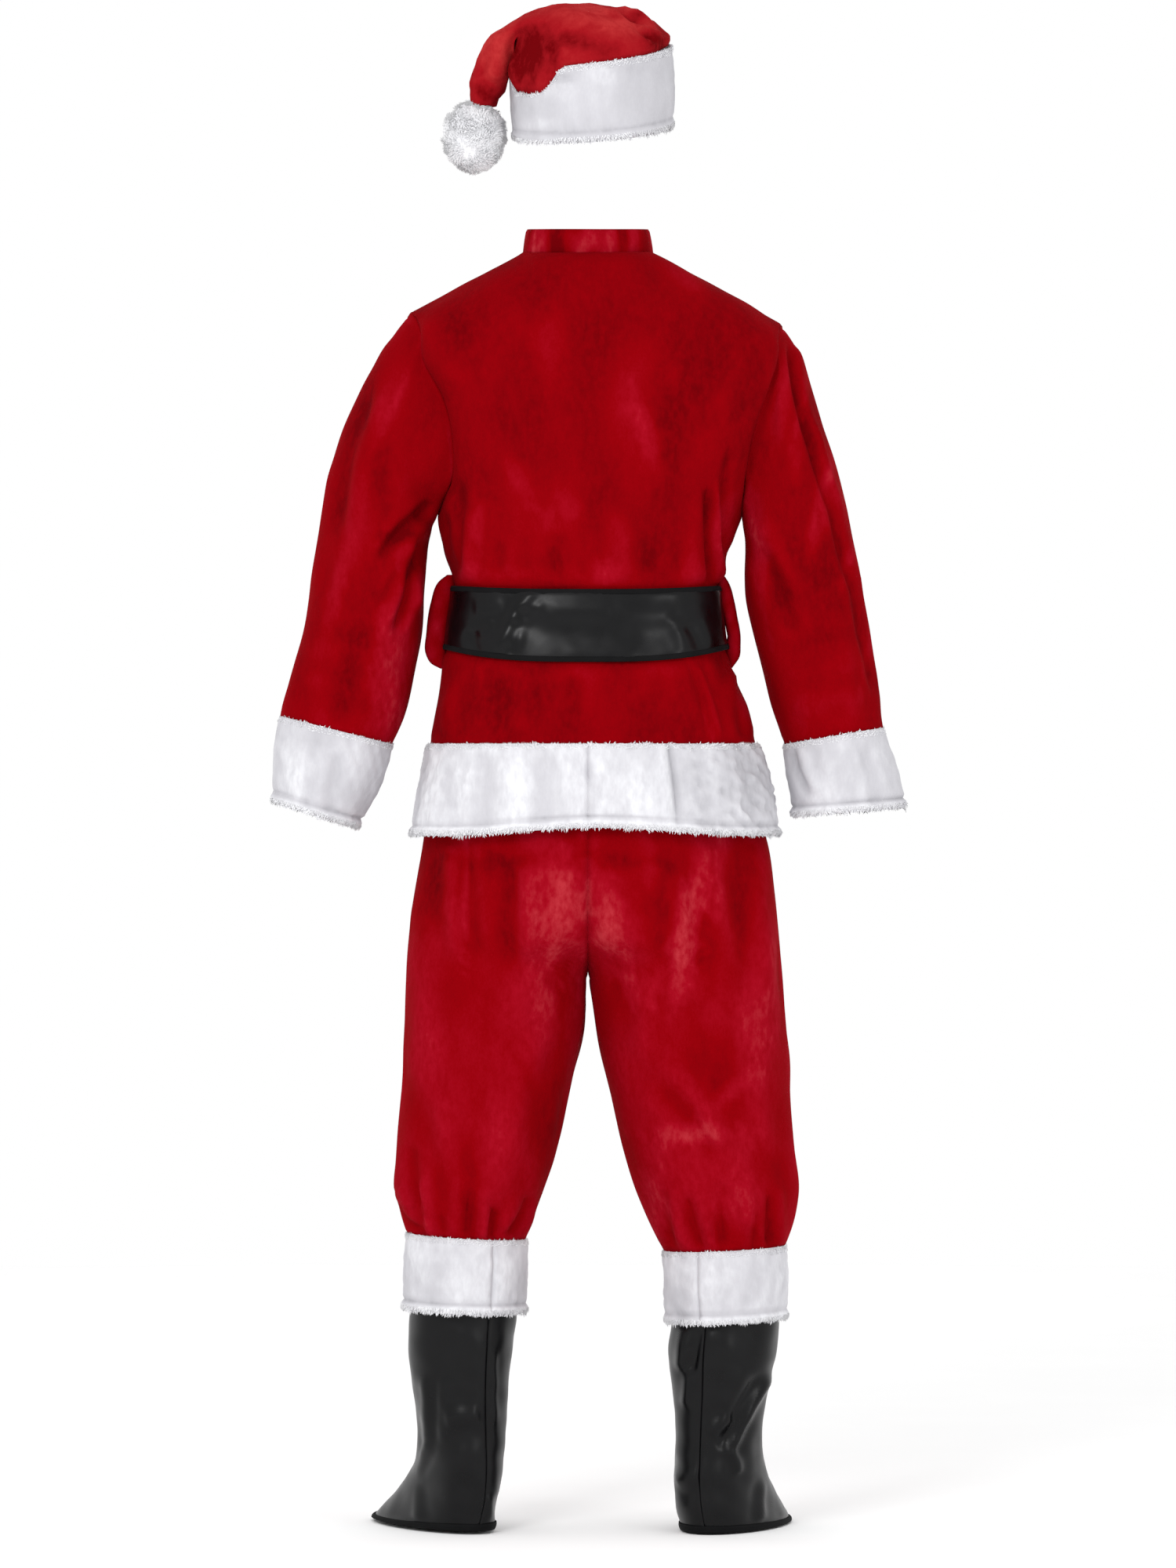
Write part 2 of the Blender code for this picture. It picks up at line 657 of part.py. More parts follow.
def buckle(metal, distance):
    """A plain frame with a middle bar, lying on the strap and bent a little with it."""
    heights_known, _, _, _, _, depths = np.array(JACKET_ROWS, dtype=float).T
    xs = [BUCKLE_HALF_WIDTH, BUCKLE_HALF_WIDTH - BUCKLE_RIM, BUCKLE_BAR]
    xs = [-x for x in xs] + xs[::-1]
    low, high = BELT_BOTTOM_Z - BUCKLE_ROOM, BELT_TOP_Z + BUCKLE_ROOM
    heights = (high + BUCKLE_RIM, high, low, low - BUCKLE_RIM)
    half_width = -JACKET_ROWS[WAIST_ROW][2]
    grid = []
    for z in heights:
        depth = np.interp(z, heights_known, depths)
        grid.append([[x, -depth * rounded(x / half_width), z] for x in xs])
    base = np.array(grid, dtype=float)
    base[..., 1] -= distance
    outer = base - BUCKLE_THICKNESS * BACKWARD
    build("belt_buckle", outer, base, metal, closed=False, left_out=((1, 1), (1, 3)))


def belt_loops(plush):
    """A soft turned loop at each side, from above the belt over it to below."""
    for name, hand in (("left", 1), ("right", -1)):
        column = jacket_column(hand, 1)[::-1]
        ends = []
        for z in (LOOP_TOP_Z, LOOP_BOTTOM_Z):
            over = (z - LOOP_END_REACH, z, z + LOOP_END_REACH)
            reach = np.interp(over, column[:, 2], np.abs(column[:, 0]))
            ends.append((hand * (max(reach) + 2 * SEAM_GAP), z))
        path = [ends[0], *LOOP_PATHS[name], ends[1]]
        points = np.array([[x, 0, z] for x, z in path], dtype=float)
        ways = unit(np.gradient(points, axis=0))
        ways[0], ways[-1] = hand * ASIDE, -hand * ASIDE
        mesh = bmesh.new()
        rings = []
        for point, way in zip(points, ways):
            out = LOOP_HALF_THICKNESS * np.cross(BACKWARD, way)
            turns = [2 * math.pi * k / LOOP_SIDES for k in range(LOOP_SIDES)]
            steps = [out * math.cos(a) + LOOP_HALF_WIDTH * BACKWARD * math.sin(a) for a in turns]
            rings.append([mesh.verts.new((point + step) * MM) for step in steps])
        for ring, after in zip(rings, rings[1:]):
            for k in range(LOOP_SIDES):
                n = (k + 1) % LOOP_SIDES
                mesh.faces.new((ring[k], ring[n], after[n], after[k]))
        mesh.faces.new(rings[0])
        mesh.faces.new(rings[-1])
        finish(f"belt_loop_{name}", mesh, plush)


def main():
    for thing in list(bpy.data.objects):
        bpy.data.objects.remove(thing, do_unlink=True)
    red = material("red_plush", (0.34, 0.004, 0.007), 0.9)
    white = material("white_plush", (0.78, 0.78, 0.8), 0.95)
    vinyl = material("black_vinyl", (0.012, 0.012, 0.013), 0.3)
    tape = material("black_tape", (0.016, 0.016, 0.017), 0.8)
    metal = material("buckle_metal", (0.72, 0.6, 0.25), 0.25, 1.0)
    jacket(red, white)
    sleeves(red, white)
    collar(red)
    legs(red, white)
    waistband(red)
    boot_covers(vinyl, tape)
    hat(red, white)
    belt(vinyl, tape, metal)
    belt_loops(red)


main()
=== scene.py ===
# %% [markdown]
# # A red plush Santa suit, worn and hollow
# The suit is five garments that a wearer holds up: a hat, a jacket with its own belt, trousers and two
# vinyl boot covers. A costume workroom cuts it from two cloths. One is a red velour with a short pile,
# and the other is a white plush with a longer one. Every piece here is a thin wall of cloth over air.
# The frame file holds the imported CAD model, and each piece below takes a CAD piece's place.

# %% Load the fixed frame
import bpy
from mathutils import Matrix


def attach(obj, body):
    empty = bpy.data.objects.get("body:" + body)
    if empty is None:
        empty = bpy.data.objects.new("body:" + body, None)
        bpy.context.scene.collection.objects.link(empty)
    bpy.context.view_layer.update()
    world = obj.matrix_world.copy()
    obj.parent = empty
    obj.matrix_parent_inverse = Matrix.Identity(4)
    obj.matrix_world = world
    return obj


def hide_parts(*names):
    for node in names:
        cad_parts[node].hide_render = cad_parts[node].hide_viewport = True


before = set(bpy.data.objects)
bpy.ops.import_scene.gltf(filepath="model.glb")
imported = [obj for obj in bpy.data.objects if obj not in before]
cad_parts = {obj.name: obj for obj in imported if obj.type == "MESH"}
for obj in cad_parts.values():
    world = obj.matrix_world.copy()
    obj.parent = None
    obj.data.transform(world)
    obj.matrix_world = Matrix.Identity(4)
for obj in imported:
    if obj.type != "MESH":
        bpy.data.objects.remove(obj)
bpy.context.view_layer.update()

# %% Modules
import math

import bpy
import numpy as np

MM = 0.001
UP = np.array([0.0, 0.0, 1.0])
BACKWARD = np.array([0.0, 1.0, 0.0])
print("sizes are in millimetres until a mesh is made, and then in metres")

# %% [markdown]
# ## The studio
# A suit like this is shown in a photographer's studio: a pale floor, white all round, and soft lamps to
# both sides. The suit faces -Y, and the camera stands behind it, level with its middle and nine metres
# off, so that nothing is drawn out of proportion. A long lens fills the tall picture. White light from
# all sides comes from the world, so one big area lamp and a weak one across from it are enough to give
# the folds their soft shade.

# %% Colours from hex values
def hex_colour(code):
    """An sRGB hex value as the linear colour that a shader reads."""
    parts = [int(code[i : i + 2], 16) / 255 for i in (1, 3, 5)]
    linear = [c / 12.92 if c <= 0.04045 else ((c + 0.055) / 1.055) ** 2.4 for c in parts]
    return (*linear, 1.0)


print("plain white is", hex_colour("#ffffff"))

# %% One function for every shader node
def node(tree, kind, inputs=(), **settings):
    """Adds a node with its settings. Each input is a value, or another node's output to link."""
    made = tree.nodes.new(kind)
    for key, value in settings.items():
        setattr(made, key, value)
    for name, value in dict(inputs).items():
        if isinstance(value, bpy.types.NodeSocket):
            tree.links.new(value, made.inputs[name])
        else:
            made.inputs[name].default_value = value
    return made


def new_material(name):
    """An empty material and its node tree."""
    material = bpy.data.materials.new(name)
    material.use_nodes = True
    material.node_tree.nodes.clear()
    return material, material.node_tree


def finish_material(tree, inputs, extra=()):
    """Ends a material in a Principled shader; the extra settings' names have _ for a space."""
    named = {key.replace("_", " "): value for key, value in dict(extra).items()}
    shader = node(tree, "ShaderNodeBsdfPrincipled", {**inputs, **named})
    node(tree, "ShaderNodeOutputMaterial", {"Surface": shader.outputs[0]})


print("materials are made from nodes only")

# %% Camera
CAMERA_DISTANCE = 9.0
CAMERA_HEIGHT = -0.628
PICTURE_HEIGHT = 1.89
SENSOR = 36.0

camera_data = bpy.data.cameras.new("camera")
camera_data.sensor_width = SENSOR
camera_data.lens = SENSOR * CAMERA_DISTANCE / PICTURE_HEIGHT
camera = bpy.data.objects.new("camera", camera_data)
camera.location = (0, CAMERA_DISTANCE, CAMERA_HEIGHT)
camera.rotation_euler = (math.radians(90), 0, math.radians(180))
bpy.context.scene.collection.objects.link(camera)
bpy.context.scene.camera = camera
bpy.context.scene.view_settings.view_transform = "Standard"
print(f"the lens is {camera_data.lens:.1f} mm")

# %% Light from all round, and two soft lamps between the camera and the suit
world = bpy.data.worlds.new("studio_world")
world.use_nodes = True
world.node_tree.nodes.clear()
sky = node(world.node_tree, "ShaderNodeBackground", {"Color": hex_colour("#ffffff"), "Strength": 1.0})
node(world.node_tree, "ShaderNodeOutputWorld", {"Surface": sky.outputs[0]})
bpy.context.scene.world = world

LAMPS = (
    # name, place, size, power
    ("key_lamp", (1.5, 4.0, 1.35), 1.3, 72.0),
    ("fill_lamp", (-2.4, 3.0, -0.2), 1.0, 18.0),
)
LAMP_TARGET = (0, 0, -0.6)  # the suit's middle
for name, place, size, power in LAMPS:
    lamp_data = bpy.data.lights.new(name, "AREA")
    lamp_data.size = size
    lamp_data.energy = power
    lamp = bpy.data.objects.new(name, lamp_data)
    lamp.location = place
    aim = np.array(LAMP_TARGET) - np.array(place)
    lamp.rotation_euler = (
        math.atan2(math.hypot(aim[0], aim[1]), -aim[2]), 0, math.atan2(-aim[0], aim[1])
    )
    bpy.context.scene.collection.objects.link(lamp)
print(len(LAMPS), "lamps and a white world")

# %% Floor
FLOOR_Z = -1.528
FLOOR_RADIUS = 5.0

floor_material, tree = new_material("studio_floor_paint")
grain = node(tree, "ShaderNodeTexNoise", {"Scale": 40.0, "Detail": 3.0})
tint = node(
    tree, "ShaderNodeMix",
    {0: grain.outputs["Fac"], 6: hex_colour("#fbfbfb"), 7: hex_colour("#ffffff")},
    data_type="RGBA",
)
finish_material(tree, {"Base Color": tint.outputs[2], "Roughness": 0.9})

turns = np.linspace(0, 2 * math.pi, 64, endpoint=False)
floor_mesh = bpy.data.meshes.new("floor")
edge = [(FLOOR_RADIUS * math.cos(a), FLOOR_RADIUS * math.sin(a), FLOOR_Z) for a in turns]
floor_mesh.from_pydata(edge, [], [tuple(range(len(edge)))])
floor_mesh.materials.append(floor_material)
floor = bpy.data.objects.new("floor", floor_mesh)
bpy.context.scene.collection.objects.link(floor)
print("the floor is at", FLOOR_Z, "m")

# %% [markdown]
# ## The cloths and trims
# Each finish starts from what it is. Velour and plush are knitted polyester with a cut pile, so light
# goes in between the fibres: a very rough surface, a little sheen, and no shine. Where the pile leans
# another way the cloth looks paler or darker, which is called its nap. The meshes carry a number per
# point for that, named nap, and the red material mixes its reds by it. The same
# number also carries painted shade in troughs, creases and under the hem, and painted highlights on
# ridges and rolls. The belt and boot covers are soft PVC on a cloth backing, whose sheen is broken by
# a fine grain.

# %% Cloth with a pile: its own noises and the mesh's nap and painted light mix a few near colours
STREAK_MM = 7.0  # brushed patches break up into streaks about so wide
PILE_ROUGHNESS = 0.94  # light goes in between the fibres and hardly comes back as shine


def pile(name, colours, grains, squeeze, reliefs, **extra):
    """A cut pile; the colours run from pile leaning away (-0.5) over flat (0) to brushed up,
    and the mesh's painted shade and highlight move along the same colours.

    grains are (size in mm, detail, weight); reliefs are (grain, strength, depth in mm).
    """
    material, tree = new_material(name)
    place = node(tree, "ShaderNodeTexCoord").outputs["Object"]
    pulled = node(tree, "ShaderNodeMapping", {"Vector": place, "Scale": squeeze}).outputs[0]
    # the mesh's number per point: the nap, with painted shade and painted highlights added to it
    brushed = node(tree, "ShaderNodeAttribute", attribute_name="nap").outputs["Fac"]
    streaks = node(
        tree, "ShaderNodeTexNoise", {"Vector": pulled, "Scale": 1 / (STREAK_MM * MM), "Detail": 4.0}
    ).outputs["Fac"]
    broken = node(
        tree, "ShaderNodeMapRange",
        {"Value": streaks, "From Min": 0.32, "From Max": 0.68, "To Min": 0.6, "To Max": 1.4},
    ).outputs[0]
    total = node(tree, "ShaderNodeMath", {0: brushed, 1: broken}, operation="MULTIPLY").outputs[0]
    noises = []
    for size, detail, weight in grains:
        noise = node(
            tree, "ShaderNodeTexNoise",
            {"Vector": pulled, "Scale": 1 / (size * MM), "Detail": detail, "Roughness": 0.55},
        ).outputs["Fac"]
        total = node(
            tree, "ShaderNodeMath", {0: noise, 1: weight, 2: total}, operation="MULTIPLY_ADD"
        ).outputs[0]
        noises.append(noise)
    flat = sum(weight for _, _, weight in grains) / 2  # a noise is 0.5 on average
    colour = hex_colour(colours[0][1])
    for (start, _), (end, shade) in zip(colours, colours[1:]):
        share = node(
            tree, "ShaderNodeMapRange",
            {"Value": total, "From Min": flat + start, "From Max": flat + end},
        ).outputs[0]
        colour = node(
            tree, "ShaderNodeMix", {0: share, 6: colour, 7: hex_colour(shade)}, data_type="RGBA"
        ).outputs[2]
    bumps = {}
    for grain, strength, depth in reliefs:
        bump = node(
            tree, "ShaderNodeBump",
            {"Height": noises[grain], "Strength": strength, "Distance": depth * MM, **bumps},
        )
        bumps = {"Normal": bump.outputs[0]}
    finish_material(tree, {"Base Color": colour, "Roughness": PILE_ROUGHNESS, **bumps}, extra)
    return material


# Red velour: a 2 mm cut pile, deep red and matt, frosted where it is brushed up. Real fibres are
# 0.1 mm, too fine to show, so tufts of 2 mm are drawn.
VELOUR_GRAINS = ((42.0, 3.0, 0.2), (8.0, 3.0, 0.15), (2.0, 2.0, 0.22))
red_velour = pile(
    "red_velour", ((-0.5, "#640005"), (0, "#820007"), (0.4, "#93081a"), (1.0, "#a82a33")),
    VELOUR_GRAINS, (1.0, 1.0, 0.55),
    ((1, 0.25, 1.0), (2, 0.35, 0.6)),
    Specular_IOR_Level=0.02, Sheen_Weight=0.04, Sheen_Roughness=0.4, Sheen_Tint=hex_colour("#ff2f4d"),
)
# The hat's velour is a brighter, more orange red, mottled finely and darkly.
hat_velour = pile(
    "red_velour_hat", ((-0.5, "#670207"), (0, "#921119"), (0.6, "#ab2b2c")),
    ((20.0, 3.0, 0.22), (5.0, 3.0, 0.15), (2.0, 2.0, 0.18)),
    (1.0, 1.0, 0.8), ((1, 0.25, 1.0), (2, 0.3, 0.6)),
    Specular_IOR_Level=0.02, Sheen_Weight=0.05, Sheen_Roughness=0.4, Sheen_Tint=hex_colour("#ff4a3c"),
)
# White plush: an 8 mm cut pile that lies down in soft upright drifts, nearly matt and a little grey.
white_plush = pile(
    "white_plush_pile", ((-0.5, "#a9a8ad"), (0, "#bfbec3"), (0.6, "#dadade")),
    ((24.0, 3.0, 0.34), (7.0, 3.0, 0.18), (2.5, 2.0, 0.2)),
    (1.0, 1.0, 0.45), ((1, 0.22, 1.0), (2, 0.3, 0.5)),
    Specular_IOR_Level=0.05, Sheen_Weight=0.06, Sheen_Roughness=0.5,
)
print("made", red_velour.name, hat_velour.name, "and", white_plush.name)

# %% Plainer finishes from one recipe: two colours, a grain, and a bump of that grain
def grained(name, dark, light, grain_mm, bump_mm, roughness, squeeze=(1, 1, 1), **extra):
    """A material whose colour drifts between two near ones, with a fine relief of the same grain."""
    material, tree = new_material(name)
    place = node(tree, "ShaderNodeTexCoord").outputs["Object"]
    pulled = node(tree, "ShaderNodeMapping", {"Vector": place, "Scale": squeeze}).outputs[0]
    wide = node(
        tree, "ShaderNodeTexNoise", {"Vector": place, "Scale": 1 / (30 * MM), "Detail": 3.0},
    )
    fine = node(
        tree, "ShaderNodeTexNoise",
        {"Vector": pulled, "Scale": 1 / (grain_mm * MM), "Detail": 3.0, "Roughness": 0.6},
    )
    both = node(
        tree, "ShaderNodeMath", {0: fine.outputs["Fac"], 1: 0.5, 2: wide.outputs["Fac"]},
        operation="MULTIPLY_ADD",
    )
    spread = node(
        tree, "ShaderNodeMapRange", {"Value": both.outputs[0], "From Min": 0.5, "From Max": 1.0}
    )
    colour = node(
        tree, "ShaderNodeMix", {0: spread.outputs[0], 6: hex_colour(dark), 7: hex_colour(light)},
        data_type="RGBA",
    )
    rough = node(
        tree, "ShaderNodeMapRange",
        {"Value": both.outputs[0], "From Min": 0.5, "From Max": 1.0,
         "To Min": roughness - 0.06, "To Max": roughness + 0.06},
    )
    bump = node(
        tree, "ShaderNodeBump",
        {"Height": fine.outputs["Fac"], "Strength": 0.6, "Distance": bump_mm * MM},
    )
    finish_material(
        tree,
        {"Base Color": colour.outputs[2], "Roughness": rough.outputs[0], "Normal": bump.outputs[0]},
        extra,
    )
    return material


# The knitted backing of the velour, on the inside: flat red with no pile, its courses 1.5 mm apart.
knit_backing = grained(
    "red_knit_backing", "#5a0409", "#6c070d", 1.5, 0.4, 0.9, (1, 1, 2.5), Specular_IOR_Level=0.1
)
# The loose tufts are the same plush, painted paler as if lit on every side, so they are the palest
# thing here: a painted highlight against the shade between the locks.
paler_painted_tufts = grained(
    "white_plush_tufts_painted_paler", "#e2e2e6", "#f1f1f4", 2.0, 0.1, 0.95,
    Specular_IOR_Level=0.05, Sheen_Weight=0.3, Sheen_Roughness=0.6,
)
# The ball's own pile is combed out, so light passes through it. A faint painted glow of its own, an
# emission, stands for that, and its colours are painted paler than the bands' plush.
glowing_ball_fluff = grained(
    "white_combed_fluff_painted_glow", "#d8d8dc", "#e6e6e8", 3.0, 0.1, 0.95,
    Specular_IOR_Level=0.05, Sheen_Weight=0.7, Sheen_Roughness=0.7,
    Emission_Color=hex_colour("#fafaff"), Emission_Strength=0.14,
)
# Soft PVC with a fine calendered grain: black, half glossy.
black_vinyl = grained(
    "soft_black_vinyl", "#040405", "#08080a", 1.6, 0.03, 0.32, IOR=1.53, Specular_IOR_Level=0.17
)
# Woven polyester tape, its ribs 1 mm apart: black and matt.
black_tape = grained(
    "woven_black_tape", "#0a0a0b", "#131314", 1.0, 0.25, 0.85, (1, 1, 0.3), Specular_IOR_Level=0.1
)
# Zinc cast buckle with a thin yellow plating: a metal with a slightly worn polish.
gilt_metal = grained("yellow_plated_zinc", "#c79a3f", "#e0bd66", 4.0, 0.02, 0.27, Metallic=1.0)
print("made", len(bpy.data.materials), "materials")

# %% [markdown]
# ## From tables to cloth
# A garment is drawn as rings or columns of points, taken from short tables of its sizes. Smooth curves
# run through the rows, as a patternmaker's curve does. The cloth is then pushed along its own normals:
# out for a ridge, in for a trough. At a seam the push is the same on both pieces, so they still meet.
# The inside is the same grid a cloth's thickness further in, and a rim joins the two, so that every
# piece is one closed wall.

# %% Smooth curves through rows of points
CLOTH_STEP = 5.0  # the mesh's spacing on the red cloth
PILE_STEP = 4.0  # and on the white, whose surface is livelier


def unit(vectors):
    """The same directions at length 1."""
    return vectors / np.maximum(np.linalg.norm(vectors, axis=-1, keepdims=True), 1e-9)


def smoothed(rows, spacing):
    """Rows filled in along smooth curves, and the place of each given row among the new ones."""
    rows = np.asarray(rows, dtype=float)
    chords = np.linalg.norm(np.diff(rows, axis=0), axis=2).mean(axis=1)
    slopes = np.gradient(rows, np.concatenate([[0], np.cumsum(chords)]), axis=0)
    dense, marks = [], [0]
    for i, chord in enumerate(chords):
        count = max(1, round(chord / spacing))
        t = (np.arange(count) / count)[:, None, None]
        dense.append(
            (2 * t**3 - 3 * t**2 + 1) * rows[i]
            + (t**3 - 2 * t**2 + t) * chord * slopes[i]
            + (3 * t**2 - 2 * t**3) * rows[i + 1]
            + (t**3 - t**2) * chord * slopes[i + 1]
        )
        marks.append(marks[-1] + count)
    return np.concatenate([*dense, rows[-1:]]), marks


def outward(grid, closed=False):
    """The cloth's outward normals; rows run down and columns anticlockwise seen from above."""
    if closed:
        across = np.roll(grid, -1, axis=1) - np.roll(grid, 1, axis=1)
    else:
        across = np.gradient(grid, axis=1)
    return -unit(np.cross(across, np.gradient(grid, axis=0)))


def run(grid, axis):
    """How far each point is along the cloth from the first row (axis 0) or column (axis 1)."""
    steps = np.linalg.norm(np.diff(grid, axis=axis), axis=2)
    start = np.zeros_like(np.take(steps, [0], axis=axis))
    return np.concatenate([start, np.cumsum(steps, axis=axis)], axis=axis)


def from_ends(grid, axis):
    """How far each point is from the first and from the last row or column."""
    along = run(grid, axis)
    return along, np.take(along, [-1], axis=axis) - along


print("mesh spacing:", CLOTH_STEP, "mm on red,", PILE_STEP, "mm on white")

# %% Folds, ripples and seams as heights above the cloth
EVEN = (1, 1, 1)  # for ripples that run alike every way; by default they are longer up and down


def eased(share):
    """0 to 1 with a soft start and end."""
    share = np.clip(share, 0, 1)
    return share * share * (3 - 2 * share)


def dimple(distance, width):
    """1 on a line, fading on both sides of it over the width."""
    return np.exp(-((distance / width) ** 2))


def folds(points, table):
    """Heights from a table of folds. Each dies out at its ends and has a shallow bank on each side.

    side is 1 on the back and -1 on the front; bow bends the fold to one side at its middle.
    """
    height = np.zeros(points.shape[:-1])
    for side, x0, z0, x1, z1, width, rise, bow in table:
        way = np.array([x1 - x0, z1 - z0], dtype=float)
        length = math.hypot(*way)
        flat = points[..., [0, 2]] - (x0, z0)
        share = flat @ way / length**2
        off = flat @ (-way[1], way[0]) / length - bow * np.sin(math.pi * np.clip(share, 0, 1))
        ends = eased((1.12 - np.abs(2 * share - 1)) / 0.45)
        bank = dimple(np.abs(off) - 1.9 * width, width)
        facing = eased(0.5 + side * points[..., 1] / 30)
        height += rise * (dimple(off, width) - 0.3 * bank) * ends * facing
    return height


def ripples(points, wavelength, seed, stretch=(1, 1, 0.6)):
    """Gentle unevenness, about 1 high, made of a dozen waves that run every way."""
    draw = np.random.default_rng(seed)
    total = np.zeros(points.shape[:-1])
    for _ in range(12):
        way = unit(draw.normal(size=3)) * stretch
        phase, reach = draw.uniform(0, 2 * math.pi), wavelength * draw.uniform(0.7, 1.6)
        total += np.sin(points @ way * 2 * math.pi / reach + phase)
    return total / math.sqrt(6)


def gathers(line, along, count, lengths, width, rise, seed, side=0):
    """Rows of a fold table: short folds that start on a line of (x, z) points and run along a way."""
    draw = np.random.default_rng(seed)
    line = np.array(line, dtype=float)
    table = []
    for k in range(count):
        t = (k + draw.uniform(0.1, 0.9)) / count * (len(line) - 1)
        foot = [np.interp(t, range(len(line)), line[:, i]) for i in (0, 1)]
        length = draw.uniform(*lengths)
        lean = draw.uniform(-0.22, 0.22) * length
        height = rise * draw.uniform(0.45, 1.0) * (1 if k % 2 else -1)
        face = side or (1 if draw.uniform() < 0.5 else -1)
        table.append(
            (face, foot[0], foot[1], foot[0] + lean, foot[1] + along * length,
             width * draw.uniform(0.7, 1.3), height, draw.uniform(-3, 3))
        )
    return table


def nap_at(points, table, seed, weight=1.0):
    """How far the pile is brushed up (1) or leans away (-1), from a table of soft oval patches;
    some patches are painted highlights on ridges, and some painted shade in creases and under the hem.
    """
    nap = 0.07 * ripples(points, 60, seed, (1, 1, 0.5))
    torn = 0.22 * ripples(points, 30, seed + 1, (1, 1, 0.5))
    torn = torn + 0.14 * ripples(points, 13, seed + 2, (1, 1, 0.5))
    for side, x, z, half_width, half_height, lean, strength in table:
        across, down = points[..., 0] - x, points[..., 2] - z
        across = across - lean * down
        away = np.sqrt((across / half_width) ** 2 + (down / half_height) ** 2)
        facing = points[..., 1] * side > 0
        nap = nap + weight * strength * np.exp(-((away * np.clip(1 + torn, 0.7, 1.5)) ** 3)) * facing
    return nap


def with_painted_fold_light(nap, lift):
    """The pile's number with painted shade, darker in the troughs, and a painted highlight, a little
    paler, on the ridges.
    """
    return nap + 0.045 * np.clip(lift, -6, 0) + 0.03 * np.clip(lift, 0, 5)


print("folds, ripples, gathers and nap are heights and shades per point")

# %% A wall of cloth from two skins
def mesh_piece(name, points, faces, materials, which=None):
    """A smooth-shaded object from points in millimetres."""
    mesh = bpy.data.meshes.new(name)
    mesh.from_pydata((np.asarray(points) * MM).tolist(), [], faces)
    for material in materials:
        mesh.materials.append(material)
    if which is not None:
        mesh.polygons.foreach_set("material_index", which)
    mesh.shade_smooth()
    mesh.update()
    made = bpy.data.objects.new(name, mesh)
    bpy.context.scene.collection.objects.link(made)
    return made


def wall(name, outer, inner, outside, inside=None, closed=False, capped=False, nap=None):
    """One closed wall between two grids of points, with a rim along every free edge."""
    rows, columns = outer.shape[:2]
    index = np.arange(rows * columns).reshape(rows, columns)
    index = np.concatenate([index, index[:, :1]], axis=1) if closed else index
    a, b, c, d = (index[:-1, :-1], index[:-1, 1:], index[1:, 1:], index[1:, :-1])
    quads = np.stack([a, d, c, b], axis=-1).reshape(-1, 4)
    back = rows * columns
    sets = [quads, quads[:, ::-1] + back]
    top, low = index[0], index[-1]
    sets.append(np.stack([top[:-1], top[1:], top[1:] + back, top[:-1] + back], axis=-1))
    if not capped:
        sets.append(np.stack([low[1:], low[:-1], low[:-1] + back, low[1:] + back], axis=-1))
    if not closed:
        left, right = index[:, 0], index[:, -1]
        sets.append(np.stack([left[1:], left[:-1], left[:-1] + back, left[1:] + back], axis=-1))
        sets.append(np.stack([right[:-1], right[1:], right[1:] + back, right[:-1] + back], axis=-1))
    faces = np.concatenate(sets).tolist()
    lining = 1 if inside else 0
    which = [0] * len(quads) + [lining] * len(quads) + [0] * (len(faces) - 2 * len(quads))
    if capped:
        faces += [low[:-1].tolist()[::-1], (low[:-1] + back).tolist()]
        which += [0, lining]
    points = np.concatenate([outer.reshape(-1, 3), inner.reshape(-1, 3)])
    materials = [outside, inside] if inside else [outside]
    made = mesh_piece(name, points, faces, materials, which)
    if nap is not None:
        values = np.concatenate([nap.reshape(-1), np.zeros(rows * columns)]).astype(np.float32)
        made.data.attributes.new("nap", "FLOAT", "POINT").data.foreach_set("value", values)
    return made


def stand_in(made, slot, *nodes):
    """The piece rides on the one body and takes the nodes' place; slot is not used."""
    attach(made, "root")
    if nodes:
        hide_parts(*nodes)
    return made


def cut_of(grid):
    """The flat size of a piece, from its smooth form: its greatest width and length, and its area."""
    a, b, c, d = grid[:-1, :-1], grid[:-1, 1:], grid[1:, 1:], grid[1:, :-1]
    area = np.linalg.norm(np.cross(c - a, d - b), axis=2).sum() / 2 * MM * MM
    width, length = run(grid, 1)[:, -1].max() * MM, run(grid, 0)[-1].max() * MM
    flat = (math.ceil(width * 200) / 200, math.ceil(length * 200) / 200)
    return flat, min(round(float(area), 4), flat[0] * flat[1])


def as_sheet(made, form, closed=False):
    form = np.concatenate([form, form[:, :1]], axis=1) if closed else form
    flat, area = cut_of(form)
    print(f"{made.name}: cut {flat[0] * 1000:.0f} x {flat[1] * 1000:.0f} mm, {area:.3f} square metres")


FINISHES = {
    # kind: slot, outside, inside
    "cloth": ("red_plush", red_velour, knit_backing),
    "plush": ("white_plush", white_plush, None),
    "vinyl": ("black_vinyl", black_vinyl, None),
    "tape": ("black_tape", black_tape, None),
}


def sheet_piece(name, kind, skins, form, rests_on, held="hung", closed=False, tufts=None, finish=None,
                **look):
    """A wall in the place of the CAD piece of that name, with its cut printed.

    tufts is a band's outward normals and its fringe's seed; finish is another outside and inside.
    """
    slot, *usual = FINISHES[kind]
    made = wall(f"{name}_{kind}", *skins, *(finish or usual), closed=closed, **look)
    stand_in(made, slot, name)
    with_pieces = ()
    if tufts:
        out, seed = tufts
        ring = [*range(out.shape[1]), 0] if closed else slice(None)
        with_pieces = [fringe(f"{name}_tufts", skins[0][:, ring], out[:, ring], seed)]
    as_sheet(made, form, closed)


print("a wall is two skins and a rim")

# %% [markdown]
# ## The jacket's smooth form
# A real jacket back is one panel with its side seams at the wearer's sides, and each front is another.
# They are cut from a table of widths and depths at each height. A section is a squarish oval, and the
# shoulders are drawn in over the yoke to the neck. It could be sculpted, but a grid from
# a table can be read and changed, and front and back, filled in together, keep the same edges where
# they are sewn.

# %% Sizes of the jacket
SQUARISH = 2.4

